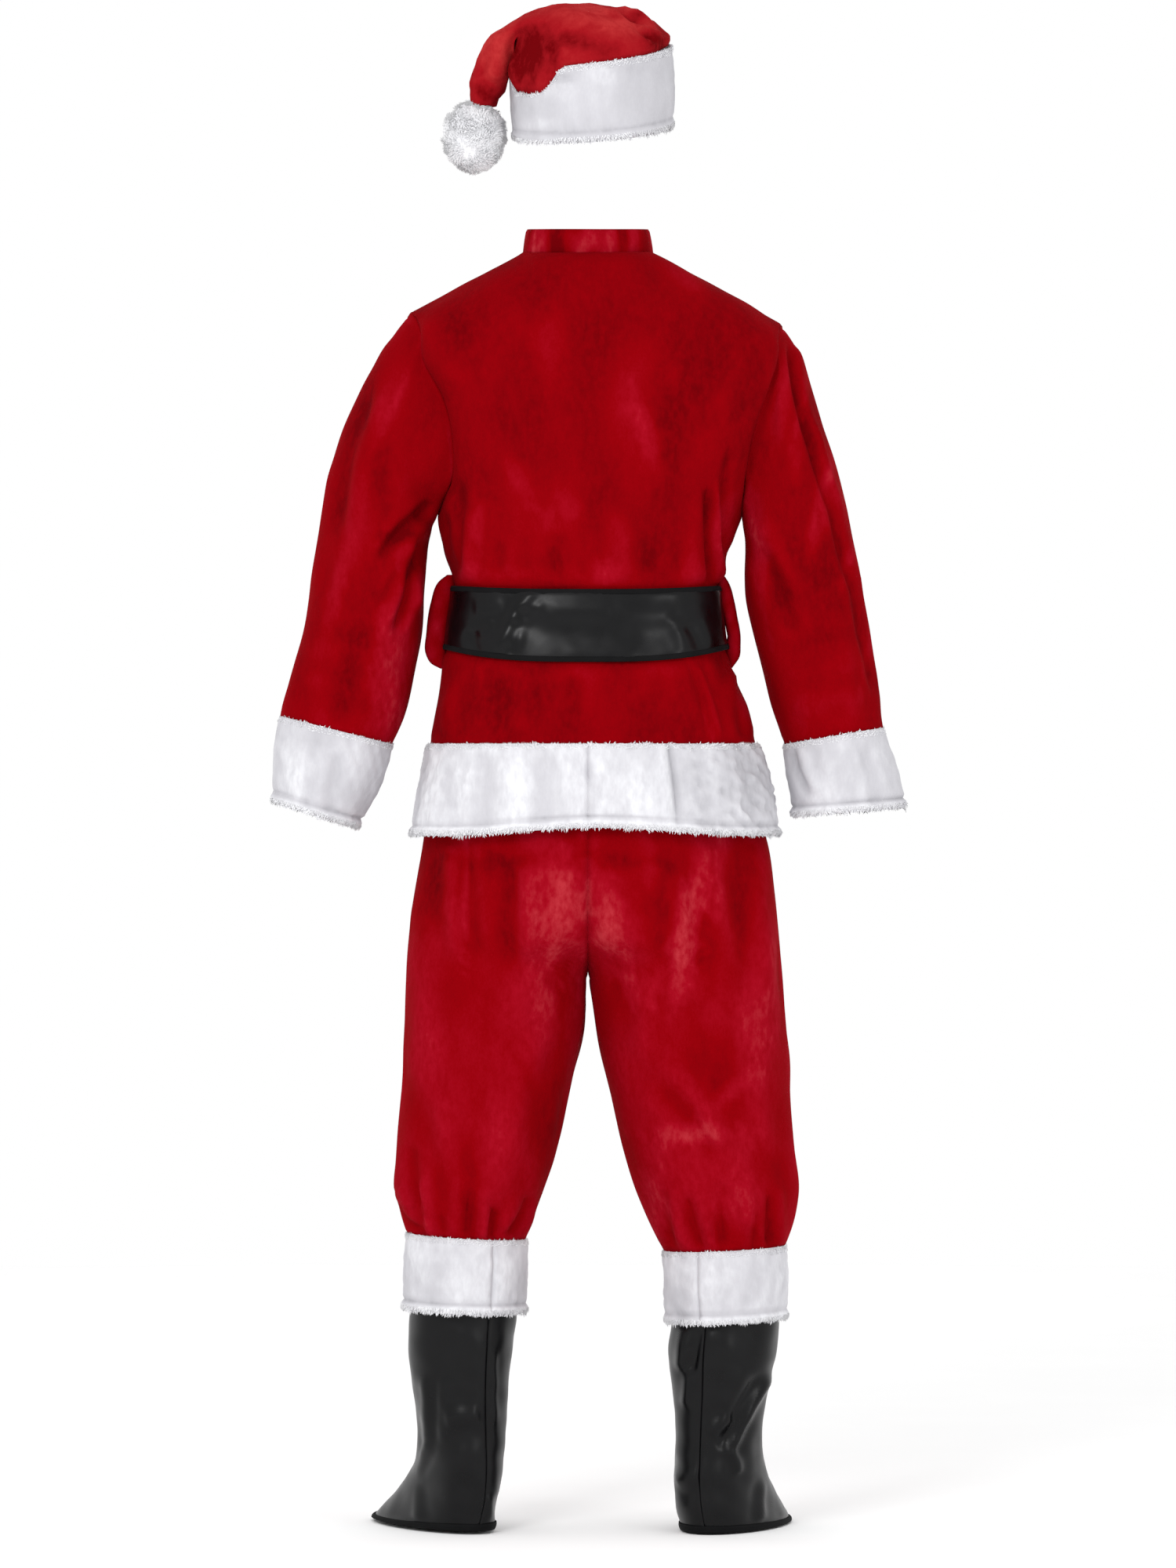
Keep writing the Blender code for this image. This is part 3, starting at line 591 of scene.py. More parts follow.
# Jacket from hem to shoulder blades: height, the wearer's left and right edges, half depth at the
# edge (above the underarm the armhole opens) and at the centre back and centre front.
JACKET_ROWS = (
    # z, left, right, edge, back, front
    (-690, 211, -226, 0, 142, 142),
    (-636, 202, -219, 0, 139, 140),
    (-580, 190, -202, 0, 134, 136),
    (-530, 180, -190, 0, 125, 128),
    (-484, 174, -171, 0, 116, 120),
    (-436, 168, -162, 0, 111, 116),
    (-388, 162, -157, 0, 109, 115),
    (-344, 174, -168, 0, 116, 120),
    (-302, 181, -185, 0, 121, 124),
    (-266, 164, -188, 47, 124, 124),
    (-220, 162, -195, 62, 125, 121),
    (-170, 172, -210, 65, 121, 114),
    (-120, 197, -227, 56, 110, 100),
)
BAND_ROWS = 3  # the lowest rows, which the hem band takes
UNDERARM_ROW = 8  # above this row the armhole opens
SHOULDER_LEFT = (219, 0, -62)
SHOULDER_RIGHT = (-236, 0, -75)
NECK_HALF_WIDTH = 78
NECK_BACK = 64
NECK_FRONT = 84
NECK_SIDE_Z = 12
NECK_BACK_Z = 8
NECK_FRONT_Z = -38
YOKE_STEPS = (0.42, 0.75, 0.94)  # extra rows from the shoulder blades up to the shoulder seam
YOKE_BULGE = 0.8
NECK_SHARE = 0.35  # the neck edge's share of the half width
PLUSH = 2.5  # how thick the red cloth is
print("the jacket has", len(JACKET_ROWS), "rows of sizes below its yoke")

# %% The jacket as columns from the neck or shoulder to the hem
NECK_STEPS, SIDE_STEPS = 12, 38  # columns from the centre to the neck's corner, and on to the side seam


def rounded(share):
    """How deep a squarish oval still is at a share of its half width."""
    return max(0.0, 1 - abs(share) ** SQUARISH) ** (1 / SQUARISH)


def jacket_row(row, share, side):
    """A point of a jacket row; share goes from -1 at the right edge to 1 at the left."""
    z, left, right, edge, back, front = row
    depth = back if side > 0 else front
    x = left * share if share > 0 else -right * share
    return np.array([x, side * (edge + (depth - edge) * rounded(share)), z])


def top_point(share, side):
    """A point of the shoulder seam, or of the neck edge within its share of the width."""
    depth, low = (NECK_BACK, NECK_BACK_Z) if side > 0 else (NECK_FRONT, NECK_FRONT_Z)
    shoulder = np.array(SHOULDER_LEFT if share > 0 else SHOULDER_RIGHT, dtype=float)
    neck = np.array([math.copysign(NECK_HALF_WIDTH, share), 0, NECK_SIDE_Z])
    if abs(share) > NECK_SHARE:
        return neck + (shoulder - neck) * (abs(share) - NECK_SHARE) / (1 - NECK_SHARE)
    turn = math.asin(abs(share) / NECK_SHARE)
    height = low + (NECK_SIDE_Z - low) * (1 - math.cos(turn))
    return np.array([neck[0] * math.sin(turn), side * depth * math.cos(turn), height])


def jacket_column(share, side):
    """One column of the jacket, from the neck or shoulder down to the band's lower edge."""
    column = [jacket_row(row, share, side) for row in JACKET_ROWS]
    low, top = column[-1], top_point(share, side)
    for step in YOKE_STEPS:
        rise = math.sin(step * math.pi / 2)
        fall = math.cos(step * math.pi / 2) ** YOKE_BULGE
        x, y = (top + (low - top) * fall)[:2]
        column.append(np.array([x, y, low[2] + (top[2] - low[2]) * rise]))
    column.append(top)
    return np.array(column[::-1])


def round_shares():
    """Column shares from the wearer's left side seam over the centre to the right one, evenly round."""
    neck = math.asin(NECK_SHARE)
    turns = np.concatenate([
        np.linspace(math.pi / 2, neck, SIDE_STEPS, endpoint=False), np.linspace(neck, 0, NECK_STEPS + 1)
    ])
    half = np.sin(turns)
    return np.concatenate([half, -half[-2::-1]])


SHARES = round_shares()
back = np.stack([jacket_column(share, 1) for share in SHARES], axis=1)
front = np.stack([jacket_column(share, -1) for share in SHARES[::-1]], axis=1)
jacket_rows = np.concatenate([back, front], axis=1)
both, jacket_marks = smoothed(jacket_rows, CLOTH_STEP)
back_form, front_form = both[:, : len(SHARES)], both[:, len(SHARES) :]
back_form[..., 1] = np.maximum(back_form[..., 1], 0)
front_form[..., 1] = np.minimum(front_form[..., 1], 0)
underarm = jacket_marks[len(YOKE_STEPS) + len(JACKET_ROWS) - UNDERARM_ROW]
hem_seam = jacket_marks[len(YOKE_STEPS) + 1 + len(JACKET_ROWS) - BAND_ROWS]
print("the jacket's form has", back_form.shape[:2], "points behind, the hem band from row", hem_seam)

# %% Its normals, shared where the back and the front meet
back_out, front_out = outward(back_form), outward(front_form)
for ours, theirs in ((0, -1), (-1, 0)):
    mean = unit(back_out[underarm:, ours] + front_out[underarm:, theirs])
    back_out[underarm:, ours] = front_out[underarm:, theirs] = mean
mean = unit(back_out[0] + front_out[0, ::-1])
shoulder = np.abs(SHARES) >= NECK_SHARE
back_out[0, shoulder] = mean[shoulder]
front_out[0, shoulder[::-1]] = mean[::-1][shoulder[::-1]]
print("normals agree along the side and shoulder seams")

# %% [markdown]
# ## The jacket's folds
# The belt draws the jacket in, so short gathers stand above and below it all round. Two sharp pleats
# run up from it at the wearer's right side, and the skirt has two long soft folds. The front is like
# the back, because the same belt gathers it. Each fold is a row of a table: where it starts and ends,
# how wide it is and how far it stands out. A simulation would find folds of
# its own; a table puts them where the cut makes them. The patches where the velour is brushed up are
# ovals, and so are the narrow painted highlights laid along some of the folds' ridges.

# %% Folds, nap and painted highlights of the jacket
JACKET_FOLDS = [
    # side, start x, start z, end x, end z, width, rise, bow
    (1, -144, -274, -146, -388, 4.5, -8, 1),
    (1, -152, -268, -155, -386, 7, 5, 1),
    (1, -172, -222, -160, -352, 5, -5, 5),
    (1, -160, -290, -156, -380, 4, 2.5, 2),
    (1, -128, -292, -130, -384, 8, 3.5, 0),
    (1, 172, -300, 166, -386, 6, -5, 0),
    (1, 156, -262, 156, -384, 8, -5, -3),
    (1, 140, -300, 144, -386, 9, 4, 2),
    (1, 196, -70, 150, -150, 14, 4, 4),
    (1, -200, -84, -150, -190, 16, 4, -4),
    (1, 60, -60, 86, -190, 22, 2.5, 6),
    (1, -60, -62, -96, -210, 22, -2.5, -6),
    (1, 84, -240, 70, -380, 18, 3, 4),
    (1, -30, -300, -42, -386, 14, 3, -3),
    (1, -66, -180, -80, -270, 14, 3, 2),
    (1, 30, -330, 36, -386, 12, -3, 0),
    (1, -128, -488, -152, -576, 6, 6, -3),
    (1, -122, -484, -150, -576, 4.5, -7, -2),
    (1, -178, -500, -190, -574, 7, -6, 0),
    (1, -168, -494, -196, -574, 7, 5, -3),
    (1, 64, -494, 84, -570, 14, 4, 3),
    (1, 20, -500, 26, -568, 14, -3, 0),
    (1, 150, -490, 172, -570, 10, 4, 3),
    (1, -40, -500, -50, -570, 16, 3, -2),
    (-1, 0, -60, 0, -380, 5, -3, 0),
    (-1, 34, -250, 60, -386, 12, 4, 4),
    (-1, -40, -230, -70, -386, 12, -5, -4),
    (-1, 96, -260, 118, -388, 9, -5, 4),
    (-1, -104, -280, -126, -388, 9, 5, -3),
    (-1, 140, -140, 90, -230, 18, 4, 5),
    (-1, -150, -150, -96, -240, 18, -4, -5),
    (-1, 60, -490, 84, -576, 12, 5, 3),
    (-1, -66, -490, -96, -576, 12, -5, -3),
    (-1, 130, -486, 160, -576, 10, -4, 0),
    (-1, -136, -486, -166, -574, 10, 5, 0),
    (-1, 0, -490, 4, -576, 6, -3, 0),
]
BACK_TOP = [(160, -372), (80, -378), (0, -381), (-80, -378), (-155, -372)]
BACK_LOW = [(168, -476), (80, -490), (0, -494), (-80, -490), (-162, -476)]
FRONT_TOP = [(160, -374), (0, -374), (-155, -374)]
FRONT_LOW = [(168, -474), (0, -476), (-162, -474)]
JACKET_FOLDS += gathers(BACK_TOP, 1, 17, (26, 60), 6.5, 2.6, 11, 1)
JACKET_FOLDS += gathers(BACK_LOW, -1, 14, (26, 58), 7.5, 2.4, 12, 1)
JACKET_FOLDS += gathers(FRONT_TOP, 1, 17, (26, 66), 6.5, 3.0, 13, -1)
JACKET_FOLDS += gathers(FRONT_LOW, -1, 14, (26, 60), 7.5, 2.6, 14, -1)
# Most patches are the velour's nap. The narrow ones along the ridges of folds and pleats behind, at x
# -70, -137, -158 and -186, are painted highlights.
JACKET_NAP_AND_PAINTED_LIGHT = [
    # side, x, z, half width, half height, lean, strength
    (1, -70, -216, 15, 52, 0.25, 0.62),
    (1, 45, -108, 13, 42, -0.1, 0.35),
    (1, 54, -96, 22, 20, 0, 0.2),
    (1, -102, -142, 10, 18, 0, 0.4),
    (1, -86, -132, 26, 60, -0.2, 0.22),
    (1, 85, -262, 12, 30, 0.5, 0.5),
    (1, 128, -318, 8, 32, 0, 0.55),
    (1, -38, -350, 20, 40, 0.15, 0.35),
    (1, 48, -312, 10, 16, 0, 0.4),
    (1, 24, -300, 14, 14, 0, 0.35),
    (1, -158, -320, 9, 62, -0.1, 0.55),
    (1, -120, -370, 14, 22, 0, 0.5),
    (1, -22, -372, 18, 14, 0, 0.5),
    (1, 148, -372, 14, 12, 0, 0.45),
    (1, 60, -376, 46, 10, 0, 0.3),
    (1, 120, -120, 34, 50, 0, 0.16),
    (1, -150, -134, 58, 66, 0, -0.5),
    (1, 172, -92, 36, 36, 0, -0.22),
    (1, 110, -180, 24, 46, 0, -0.14),
    (1, 100, -330, 12, 40, 0, -0.12),
    (1, -10, -190, 34, 60, 0, -0.18),
    (1, -88, -376, 18, 20, 0, -0.15),
    (1, -137, -536, 3.5, 44, 0.29, 0.8),
    (1, -186, -540, 9, 40, -0.1, 0.5),
    (1, 176, -556, 16, 24, 0, -0.3),
    (1, 80, -520, 34, 30, 0, -0.12),
    (-1, 80, -180, 24, 60, 0.2, 0.5),
    (-1, -90, -250, 16, 50, -0.2, 0.5),
    (-1, -40, -340, 20, 36, 0, 0.45),
    (-1, 110, -360, 18, 24, 0, 0.5),
    (-1, -130, -150, 40, 50, 0, -0.4),
    (-1, 50, -300, 30, 40, 0, -0.3),
    (-1, 90, -530, 20, 40, 0, 0.4),
    (-1, -120, -530, 16, 40, 0, 0.45),
]
print(len(JACKET_FOLDS), "folds and", len(JACKET_NAP_AND_PAINTED_LIGHT), "patches of nap")

# %% [markdown]
# ## Pressing the jacket into shape
# All the heights are added up on the smooth form. They fade out at the seams, where a narrow trough
# shows the stitching pulled in, and under the belt, where the cloth is flat and a little pressed in.
# A Displace modifier could push the mesh too, but here one sum holds folds, seams and belt.

# %% Heights of the jacket's panels
SEAM_DEPTH, SEAM_WIDTH = 1.7, 3.4
SEAM_CALM = 20.0  # how far from a seam the folds begin
BELT_TOP_Z, BELT_BOTTOM_Z = -390, -466
TOP_SAG, BOTTOM_SAG, SAG_SHAPE = 6, 17, 3
BELT_PRESS, PRESS_FADE = 1.6, 9  # the belt presses the cloth in, and less so far outside its edges
BELT_PUFF = 2.6  # above and below it the cloth stands out
PUFF_AT, PUFF_WIDTH = 15, 10


def belt_edges(side):
    """The heights of the belt's upper and lower edge at each column; both sag at the centre back."""
    sag = 1 - np.abs(SHARES) ** SAG_SHAPE if side > 0 else np.zeros(len(SHARES))
    return BELT_TOP_Z - TOP_SAG * sag, BELT_BOTTOM_Z - BOTTOM_SAG * sag


def jacket_lift(form, side):
    """Ridges above 0 and troughs below it, for one half of the jacket above the hem band."""
    left, right = from_ends(form, 1)
    sides = np.minimum(left, right)
    top, low = from_ends(form, 0)
    calm = eased(sides / SEAM_CALM) * eased(top / SEAM_CALM) * eased(low / (0.6 * SEAM_CALM))
    height = folds(form, JACKET_FOLDS) + 1.5 * ripples(form, 95, 21) + 0.45 * ripples(form, 34, 22)
    at_shoulder = eased((np.abs(SHARES) - NECK_SHARE) / 0.06)
    seams = dimple(sides, SEAM_WIDTH) + at_shoulder * dimple(top, SEAM_WIDTH)
    height = height * calm - SEAM_DEPTH * seams
    belt_top, belt_low = belt_edges(side)
    z = form[..., 2]
    outside = np.maximum(z - belt_top, belt_low - z)
    height += BELT_PUFF * (1 - SHARES**8) * dimple(outside - PUFF_AT, PUFF_WIDTH) * (outside > -4)
    pressed = 1 - eased(outside / PRESS_FADE)
    return height * (1 - pressed) - BELT_PRESS * pressed


panels = {}
for name, form, out, side in (("back", back_form, back_out, 1), ("front", front_form, front_out, -1)):
    form, out = form[: hem_seam + 1], out[: hem_seam + 1]
    lift = jacket_lift(form, side)
    outer = form + out * lift[..., None]
    # painted shade in the folds' troughs and a painted highlight on their ridges
    nap = with_painted_fold_light(nap_at(form, JACKET_NAP_AND_PAINTED_LIGHT, 31, 0.45) - 0.13, lift)
    panels[name] = (form, outer, outer - PLUSH * out, nap)
    print(f"{name}: folds from {lift.min():.1f} to {lift.max():.1f} mm")

# %% Back and fronts
centre = len(SHARES) // 2
for name, half, columns in (
    ("back", "back", slice(None)),
    ("front_left", "front", slice(centre, None)),
    ("front_right", "front", slice(None, centre + 1)),
):
    form, outer, inner, nap = (part[:, columns] for part in panels[half])
    sheet_piece(f"jacket_{name}", "cloth", (outer, inner), form, ["jacket_collar_cloth"], nap=nap)

# %% [markdown]
# ## White plush bands
# A hem band or cuff of plush is a strip of long-pile cloth turned under at its lower edge and stitched
# a finger's width above it. The edge rolls up round, and a groove shows where the stitches hold it. On
# the flat the pile lies down and looks smooth, with a few swirls. At the roll it stands out in tufts,
# so these are real geometry: slim closed locks of fibre, bent towards their tips, in one joined mesh.
# Hair would look as soft, but it isn't a mesh that a model of the shape could keep.

# %% The skins of a plush band
PILE_BAND = 7.0  # how thick a band is with its pile
PILE_REACH = 4.5  # how far it stands out from the seams' line
TOP_ROUND = 6  # its upper edge is rounded over so many millimetres
STITCH_HEIGHT = 13.0
GROOVE_DEPTH, GROOVE_WIDTH = 3.2, 1.7  # the stitches pull it in
ROLL = 3.4  # the lower edge's radius
ROLL_RISE, ROLL_HEIGHT, ROLL_WIDTH = 1.6, 6, 5  # and the roll swells out above it


def plush_skins(grid, reach, lift=0.0, closed=True, stitch=1.0):
    """Outer and inner skin of a band, with its rounded upper edge, stitched groove and rolled hem."""
    out = outward(grid, closed)
    top, low = from_ends(grid, 0)
    start = 0.3 + 0.7 * np.sin(np.minimum(top / TOP_ROUND, 1) * math.pi / 2)
    round_end = ROLL - np.sqrt(np.maximum(ROLL**2 - (ROLL - np.minimum(low, ROLL)) ** 2, 0))
    groove = GROOVE_DEPTH * stitch * dimple(low - STITCH_HEIGHT, GROOVE_WIDTH)
    roll = ROLL_RISE * dimple(low - ROLL_HEIGHT, ROLL_WIDTH)
    push = reach * start + (lift - groove + roll) * eased(top / 8) - round_end
    return grid + out * push[..., None], grid + out * (reach - PILE_BAND + round_end)[..., None], out


def pile_nap_and_painted_light(form, nap, lift, stitch=1.0):
    """A band's pile: painted shade, dark along its stitches' groove, a painted highlight, pale on its
    roll, and painted shade and highlight by its own relief.
    """
    low = from_ends(form, 0)[1]
    # a painted highlight on the roll and painted shade in the stitches' groove
    line = stitch * (0.3 * dimple(low - ROLL_HEIGHT, 4) - 0.55 * dimple(low - STITCH_HEIGHT, 2.2))
    return nap + line + 0.1 * np.clip(lift, -2.5, 1.5) + 0.04 * ripples(form, 24, 45, (1, 1, 0.4))


print("a band is", PILE_BAND, "mm thick, with its stitches", STITCH_HEIGHT, "mm up")

# %% Locks of pile
LOCK_SIDES = 3


def locks(name, feet, normals, ways, lengths, widths, rises, seed, fibre=paler_painted_tufts, roundness=0.35):
    """Slim closed locks in one mesh: a three-sided foot, a middle and a tip, bent towards ways."""
    draw = np.random.default_rng(seed)
    count = len(feet)
    across = unit(np.cross(normals, ways))
    middle = feet + ways * (0.45 * lengths)[:, None] + normals * (0.75 * rises)[:, None]
    tip = feet + ways * lengths[:, None] + normals * rises[:, None] + across * draw.normal(
        0, 0.12, (count, 1)) * lengths[:, None]
    rings = []
    for centre_point, share in ((feet - normals * 0.9, 1.0), (middle, 0.85)):
        for corner in range(LOCK_SIDES):
            a = 2 * math.pi * corner / LOCK_SIDES
            out = across * math.cos(a) + normals * (0.6 * math.sin(a))
            rings.append(centre_point + out * (0.5 * share * widths)[:, None])
    points = np.stack([*rings, tip], axis=1)
    one = [(2, 1, 0)]
    for k in range(LOCK_SIDES):
        n = (k + 1) % LOCK_SIDES
        one += [(k, n, 3 + n), (k, 3 + n, 3 + k), (3 + k, 3 + n, 6)]
    first = points[0]
    base, side_face = first[[0, 1, 3]], first.mean(axis=0)
    inwards = np.dot(np.cross(base[1] - base[0], base[2] - base[0]), side_face - base[0]) > 0
    one = [face[::-1] for face in one] if inwards else one
    faces = (np.array(one)[None] + 7 * np.arange(count)[:, None, None]).reshape(-1, 3).tolist()
    made = mesh_piece(name, points.reshape(-1, 3), faces, [fibre])
    own = unit(points - points.mean(axis=1, keepdims=True))
    soft = unit(normals[:, None] + roundness * own + draw.normal(0, 0.1, points.shape))
    made.data.normals_split_custom_set_from_vertices(soft.reshape(-1, 3).tolist())
    return stand_in(made, "white_plush")


def strewn(grid, out, rows, count, draw):
    """Random feet on some rows of a grid, with the normal, the way down and the way across at each."""
    i = draw.uniform(rows[0], rows[1], count)
    j = draw.uniform(0, grid.shape[1] - 1, count)
    i0 = np.minimum(i.astype(int), grid.shape[0] - 2)
    j0 = np.minimum(j.astype(int), grid.shape[1] - 2)
    u, v = (i - i0)[:, None], (j - j0)[:, None]

    def at(values):
        upper = values[i0, j0] * (1 - v) + values[i0, j0 + 1] * v
        return upper * (1 - u) + (values[i0 + 1, j0] * (1 - v) + values[i0 + 1, j0 + 1] * v) * u

    feet, normals = at(grid), unit(at(out))
    down = unit(grid[i0 + 1, j0] - grid[i0, j0])
    down = unit(down - normals * (down * normals).sum(axis=1, keepdims=True))
    return feet, normals, down, np.cross(normals, down)


def fringe(name, outer, out, seed):
    """A band's tufts: below its stitches, thicker at the hem's edge, and along its upper seam."""
    draw = np.random.default_rng(seed)
    rows = outer.shape[0] - 1
    low = from_ends(outer, 0)[1].mean(axis=1)
    around = run(outer, 1)[:, -1].mean()
    sets = (
        # first row, last row, tufts per square centimetre, length, width, rise, reach sideways
        (np.argmax(low < STITCH_HEIGHT - 1), rows, 34, 4.0, 1.3, 1.3, 0.5),
        (np.argmax(low < 4), rows, 84, 3.8, 1.2, 0.9, 0.4),
        (0, min(2, rows), 26, 2.8, 1.1, 1.2, 1.2),
    )
    parts = []
    for start, end, density, length, width, rise, sideways in sets:
        deep = run(outer, 0)[end].mean() - run(outer, 0)[start].mean()
        count = int(max(1, around * deep / 100 * density))
        feet, normals, down, across = strewn(outer, out, (start, end), count, draw)
        turn = sideways * (0.6 * ripples(feet, 30, seed + 5, EVEN) + draw.normal(0, 0.45, count))
        turn = turn[:, None]
        ways = unit(down * np.cos(turn) + across * np.sin(turn))
        if start == 0 and end <= 2:  # at the upper seam they point up and sideways
            ways = unit(-down * 0.5 * np.cos(turn) + across * np.sin(turn))
        size = draw.uniform(0.65, 1.2, count)
        clump = 1 + 0.24 * ripples(feet, 14, seed + 6, EVEN)
        parts.append((feet, normals, ways, length * size * np.clip(clump, 0.5, 1.5), width * size,
                      rise * draw.uniform(0.4, 1.25, count)))
    joined = [np.concatenate(column) for column in zip(*parts)]
    return locks(name, *joined, seed + 7)


print("locks have", LOCK_SIDES, "sides")

# %% [markdown]
# ## The hem band
# The band goes round the jacket's hem in two pieces, joined at the centre back and open at the centre
# front. One deep pleat at the wearer's right of the centre laps the cloth over itself, and the piece
# beyond it lies in swirls. The band is one closed grid, drawn from the same rows as the
# jacket's lower edge and then cut in two, so its folds and pile run on across the seams.

# %% Folds of the hem band
HEM_FOLDS = [
    # side, start x, start z, end x, end z, width, rise, bow
    (1, -93, -566, -109, -690, 3.2, -6, 0),
    (1, -86, -566, -101, -690, 5, 4, 0),
    (1, 2, -580, -10, -684, 3, -1.5, 0),
    (1, 16, -590, -20, -650, 8, -2.5, -3),
    (1, 8, -590, -28, -652, 8, 1.8, -3),
    (1, 40, -590, 60, -680, 14, -2, 0),
    (1, 92, -584, 84, -680, 16, 2.5, 0),
    (1, 120, -584, 128, -680, 12, -2.5, 0),
    (1, 168, -590, 182, -680, 12, 2.5, 0),
    (1, -150, -590, -160, -680, 14, 2.5, 3),
    (1, -184, -590, -196, -680, 8, -3, 0),
    (-1, 0, -566, 0, -690, 3, -3, 0),
    (-1, 50, -586, 66, -686, 14, 4, 0),
    (-1, 110, -586, 126, -686, 12, -4, 0),
    (-1, -60, -586, -76, -686, 14, -4, 0),
    (-1, -120, -586, -138, -686, 14, 4, 0),
]

HEM_NAP = [
    # side, x, z, half width, half height, lean, strength
    (1, 196, -636, 12, 60, 0, -0.25),
    (1, 164, -640, 9, 44, 0, -0.3),
    (1, 140, -622, 22, 16, 0, 0.2),
    (1, 104, -650, 8, 30, 0.2, -0.22),
    (1, 60, -634, 18, 50, 0, 0.06),
    (1, 30, -640, 8, 46, 0, -0.2),
    (1, -2, -640, 6, 60, 0, -0.28),
    (1, -20, -620, 8, 34, -0.4, -0.3),
    (1, -50, -640, 26, 50, 0, -0.08),
    (1, -104, -630, 7, 60, 0.12, -0.3),
    (1, -160, -620, 12, 40, 0, -0.3),
    (1, -190, -640, 16, 30, 0, -0.25),
    (1, -176, -660, 12, 14, 0, 0.25),
    (-1, 60, -636, 24, 60, 0, -0.3),
    (-1, -90, -636, 24, 60, 0, -0.3),
]
HEM_RISE = 10.0  # the band's lower edge is drawn up so far behind, most at HEM_MIDDLE
HEM_MIDDLE, HEM_REACH = -12, 190
print(len(HEM_FOLDS), "folds and", len(HEM_NAP), "patches of nap on the hem band")

# %% The band's two pieces and their pile
low = jacket_rows[-BAND_ROWS:]
whole = np.concatenate([low[:, : len(SHARES) - 1], low[:, len(SHARES) : -1]], axis=1)
hem_form, _ = smoothed(whole, PILE_STEP)
down_band = np.linspace(0, 1, len(hem_form))[:, None]
behind = eased(hem_form[..., 1] / 60)
drawn_up = 1 - eased(np.abs(hem_form[..., 0] - HEM_MIDDLE) / HEM_REACH)
hem_form[..., 2] += HEM_RISE * down_band * behind * drawn_up
hem_lift = folds(hem_form, HEM_FOLDS) + 0.8 * ripples(hem_form, 70, 41)
hem_lift = hem_lift + 0.3 * ripples(hem_form, 16, 42)
swirled = eased((-90 - hem_form[..., 0]) / 40) + 0.5 * eased((hem_form[..., 0] - 120) / 40)
hem_lift += 1.1 * swirled * ripples(hem_form, 13, 43, EVEN)
hem_outer, hem_inner, hem_out = plush_skins(hem_form, PILE_REACH, hem_lift)
hem_nap = 0.27 - 0.25 * behind * eased((-92 - 14 * down_band - hem_form[..., 0]) / 5)
# the band's stitched groove gets painted shade and its roll a painted highlight
hem_nap = pile_nap_and_painted_light(hem_form, hem_nap + nap_at(hem_form, HEM_NAP, 44, 0.6), hem_lift)
around = hem_form.shape[1]
for name, first, seed in (("right", centre, 60), ("left", 3 * centre, 50)):
    columns = [k % around for k in range(first, first + 2 * centre + 1)]
    outer, inner, out, nap = (part[:, columns] for part in (hem_outer, hem_inner, hem_out, hem_nap))
    sheet_piece(f"hem_band_{name}", "plush", (outer, inner), hem_form[:, columns],
                ["jacket_back_cloth"], tufts=(out, seed), nap=nap)

# %% [markdown]
# ## Sleeves and their cuffs
# A sleeve is one panel sewn into a tube and set into the armhole, so its first ring is the armhole's
# own edge on the jacket. From there each ring is an oval given by its outer and inner point and its
# depth. The arms hang a little forward of straight, so long soft folds run down from the shoulder, and
# shorter ones lie across the crook of the elbow. A tube stuck into the jacket would leave an edge to
# hide, and one that grows from the armhole's own points leaves none.

# %% Sizes of the sleeves
# Sleeves: each section's outer and inner point and its half depth; the last is the cuff seam.
SLEEVE_ROWS = {
    # outer x, outer z, inner x, inner z, half depth
    "left": (
        (254, -116, 190, -318, 70),
        (283, -172, 193, -334, 74),
        (309, -250, 195, -362, 75),
        (322, -328, 195, -398, 73),
        (334, -390, 197, -432, 70),
        (348, -458, 204, -478, 67),
        (362, -506, 215, -524, 64),
        (371, -546, 236, -580, 60),
    ),
    "right": (
        (-262, -122, -189, -320, 70),
        (-287, -200, -190, -338, 74),
        (-303, -262, -190, -366, 75),
        (-318, -332, -191, -402, 73),
        (-331, -400, -198, -438, 70),
        (-343, -460, -208, -480, 67),
        (-351, -516, -220, -526, 64),
        (-356, -560, -237, -580, 60),
    ),
}
SLEEVE_CUFF_ROWS = {
    "left": ((378, -602, 253, -632, 61), (380, -650, 280, -681, 57)),
    "right": ((-372, -612, -241, -624, 61), (-382, -657, -247, -667, 59)),
}
CAP_SHARE = 0.42  # the cap's extra ring lies so far from the armhole to the first section
SLEEVE_CALM, CUFF_CALM = 30, 12  # folds begin so far from the armhole and end so far from the cuff
ARMHOLE_DEPTH, ARMHOLE_AT = 1.4, 3  # the armhole's seam pulls the cloth in
print("a sleeve has", len(SLEEVE_ROWS["left"]), "sections below its cap")

# %% Rings for sleeves and the hat
def rings(rows, turns):
    """A ring for each row round the line from its outer to its inner point, by the back first."""
    made = []
    for outer_x, outer_z, inner_x, inner_z, depth in (row[:5] for row in rows):
        middle = np.array([(outer_x + inner_x) / 2, 0, (outer_z + inner_z) / 2])
        reach = np.array([outer_x, 0, outer_z]) - middle
        made.append([middle + reach * math.cos(a) + depth * BACKWARD * math.sin(a) for a in turns])
    return np.array(made)


def turned(grid):
    """The same rings the other way round, from the same first column."""
    return np.roll(grid[:, ::-1], 1, axis=1)


print("a ring starts at its outer point and goes by the back first")
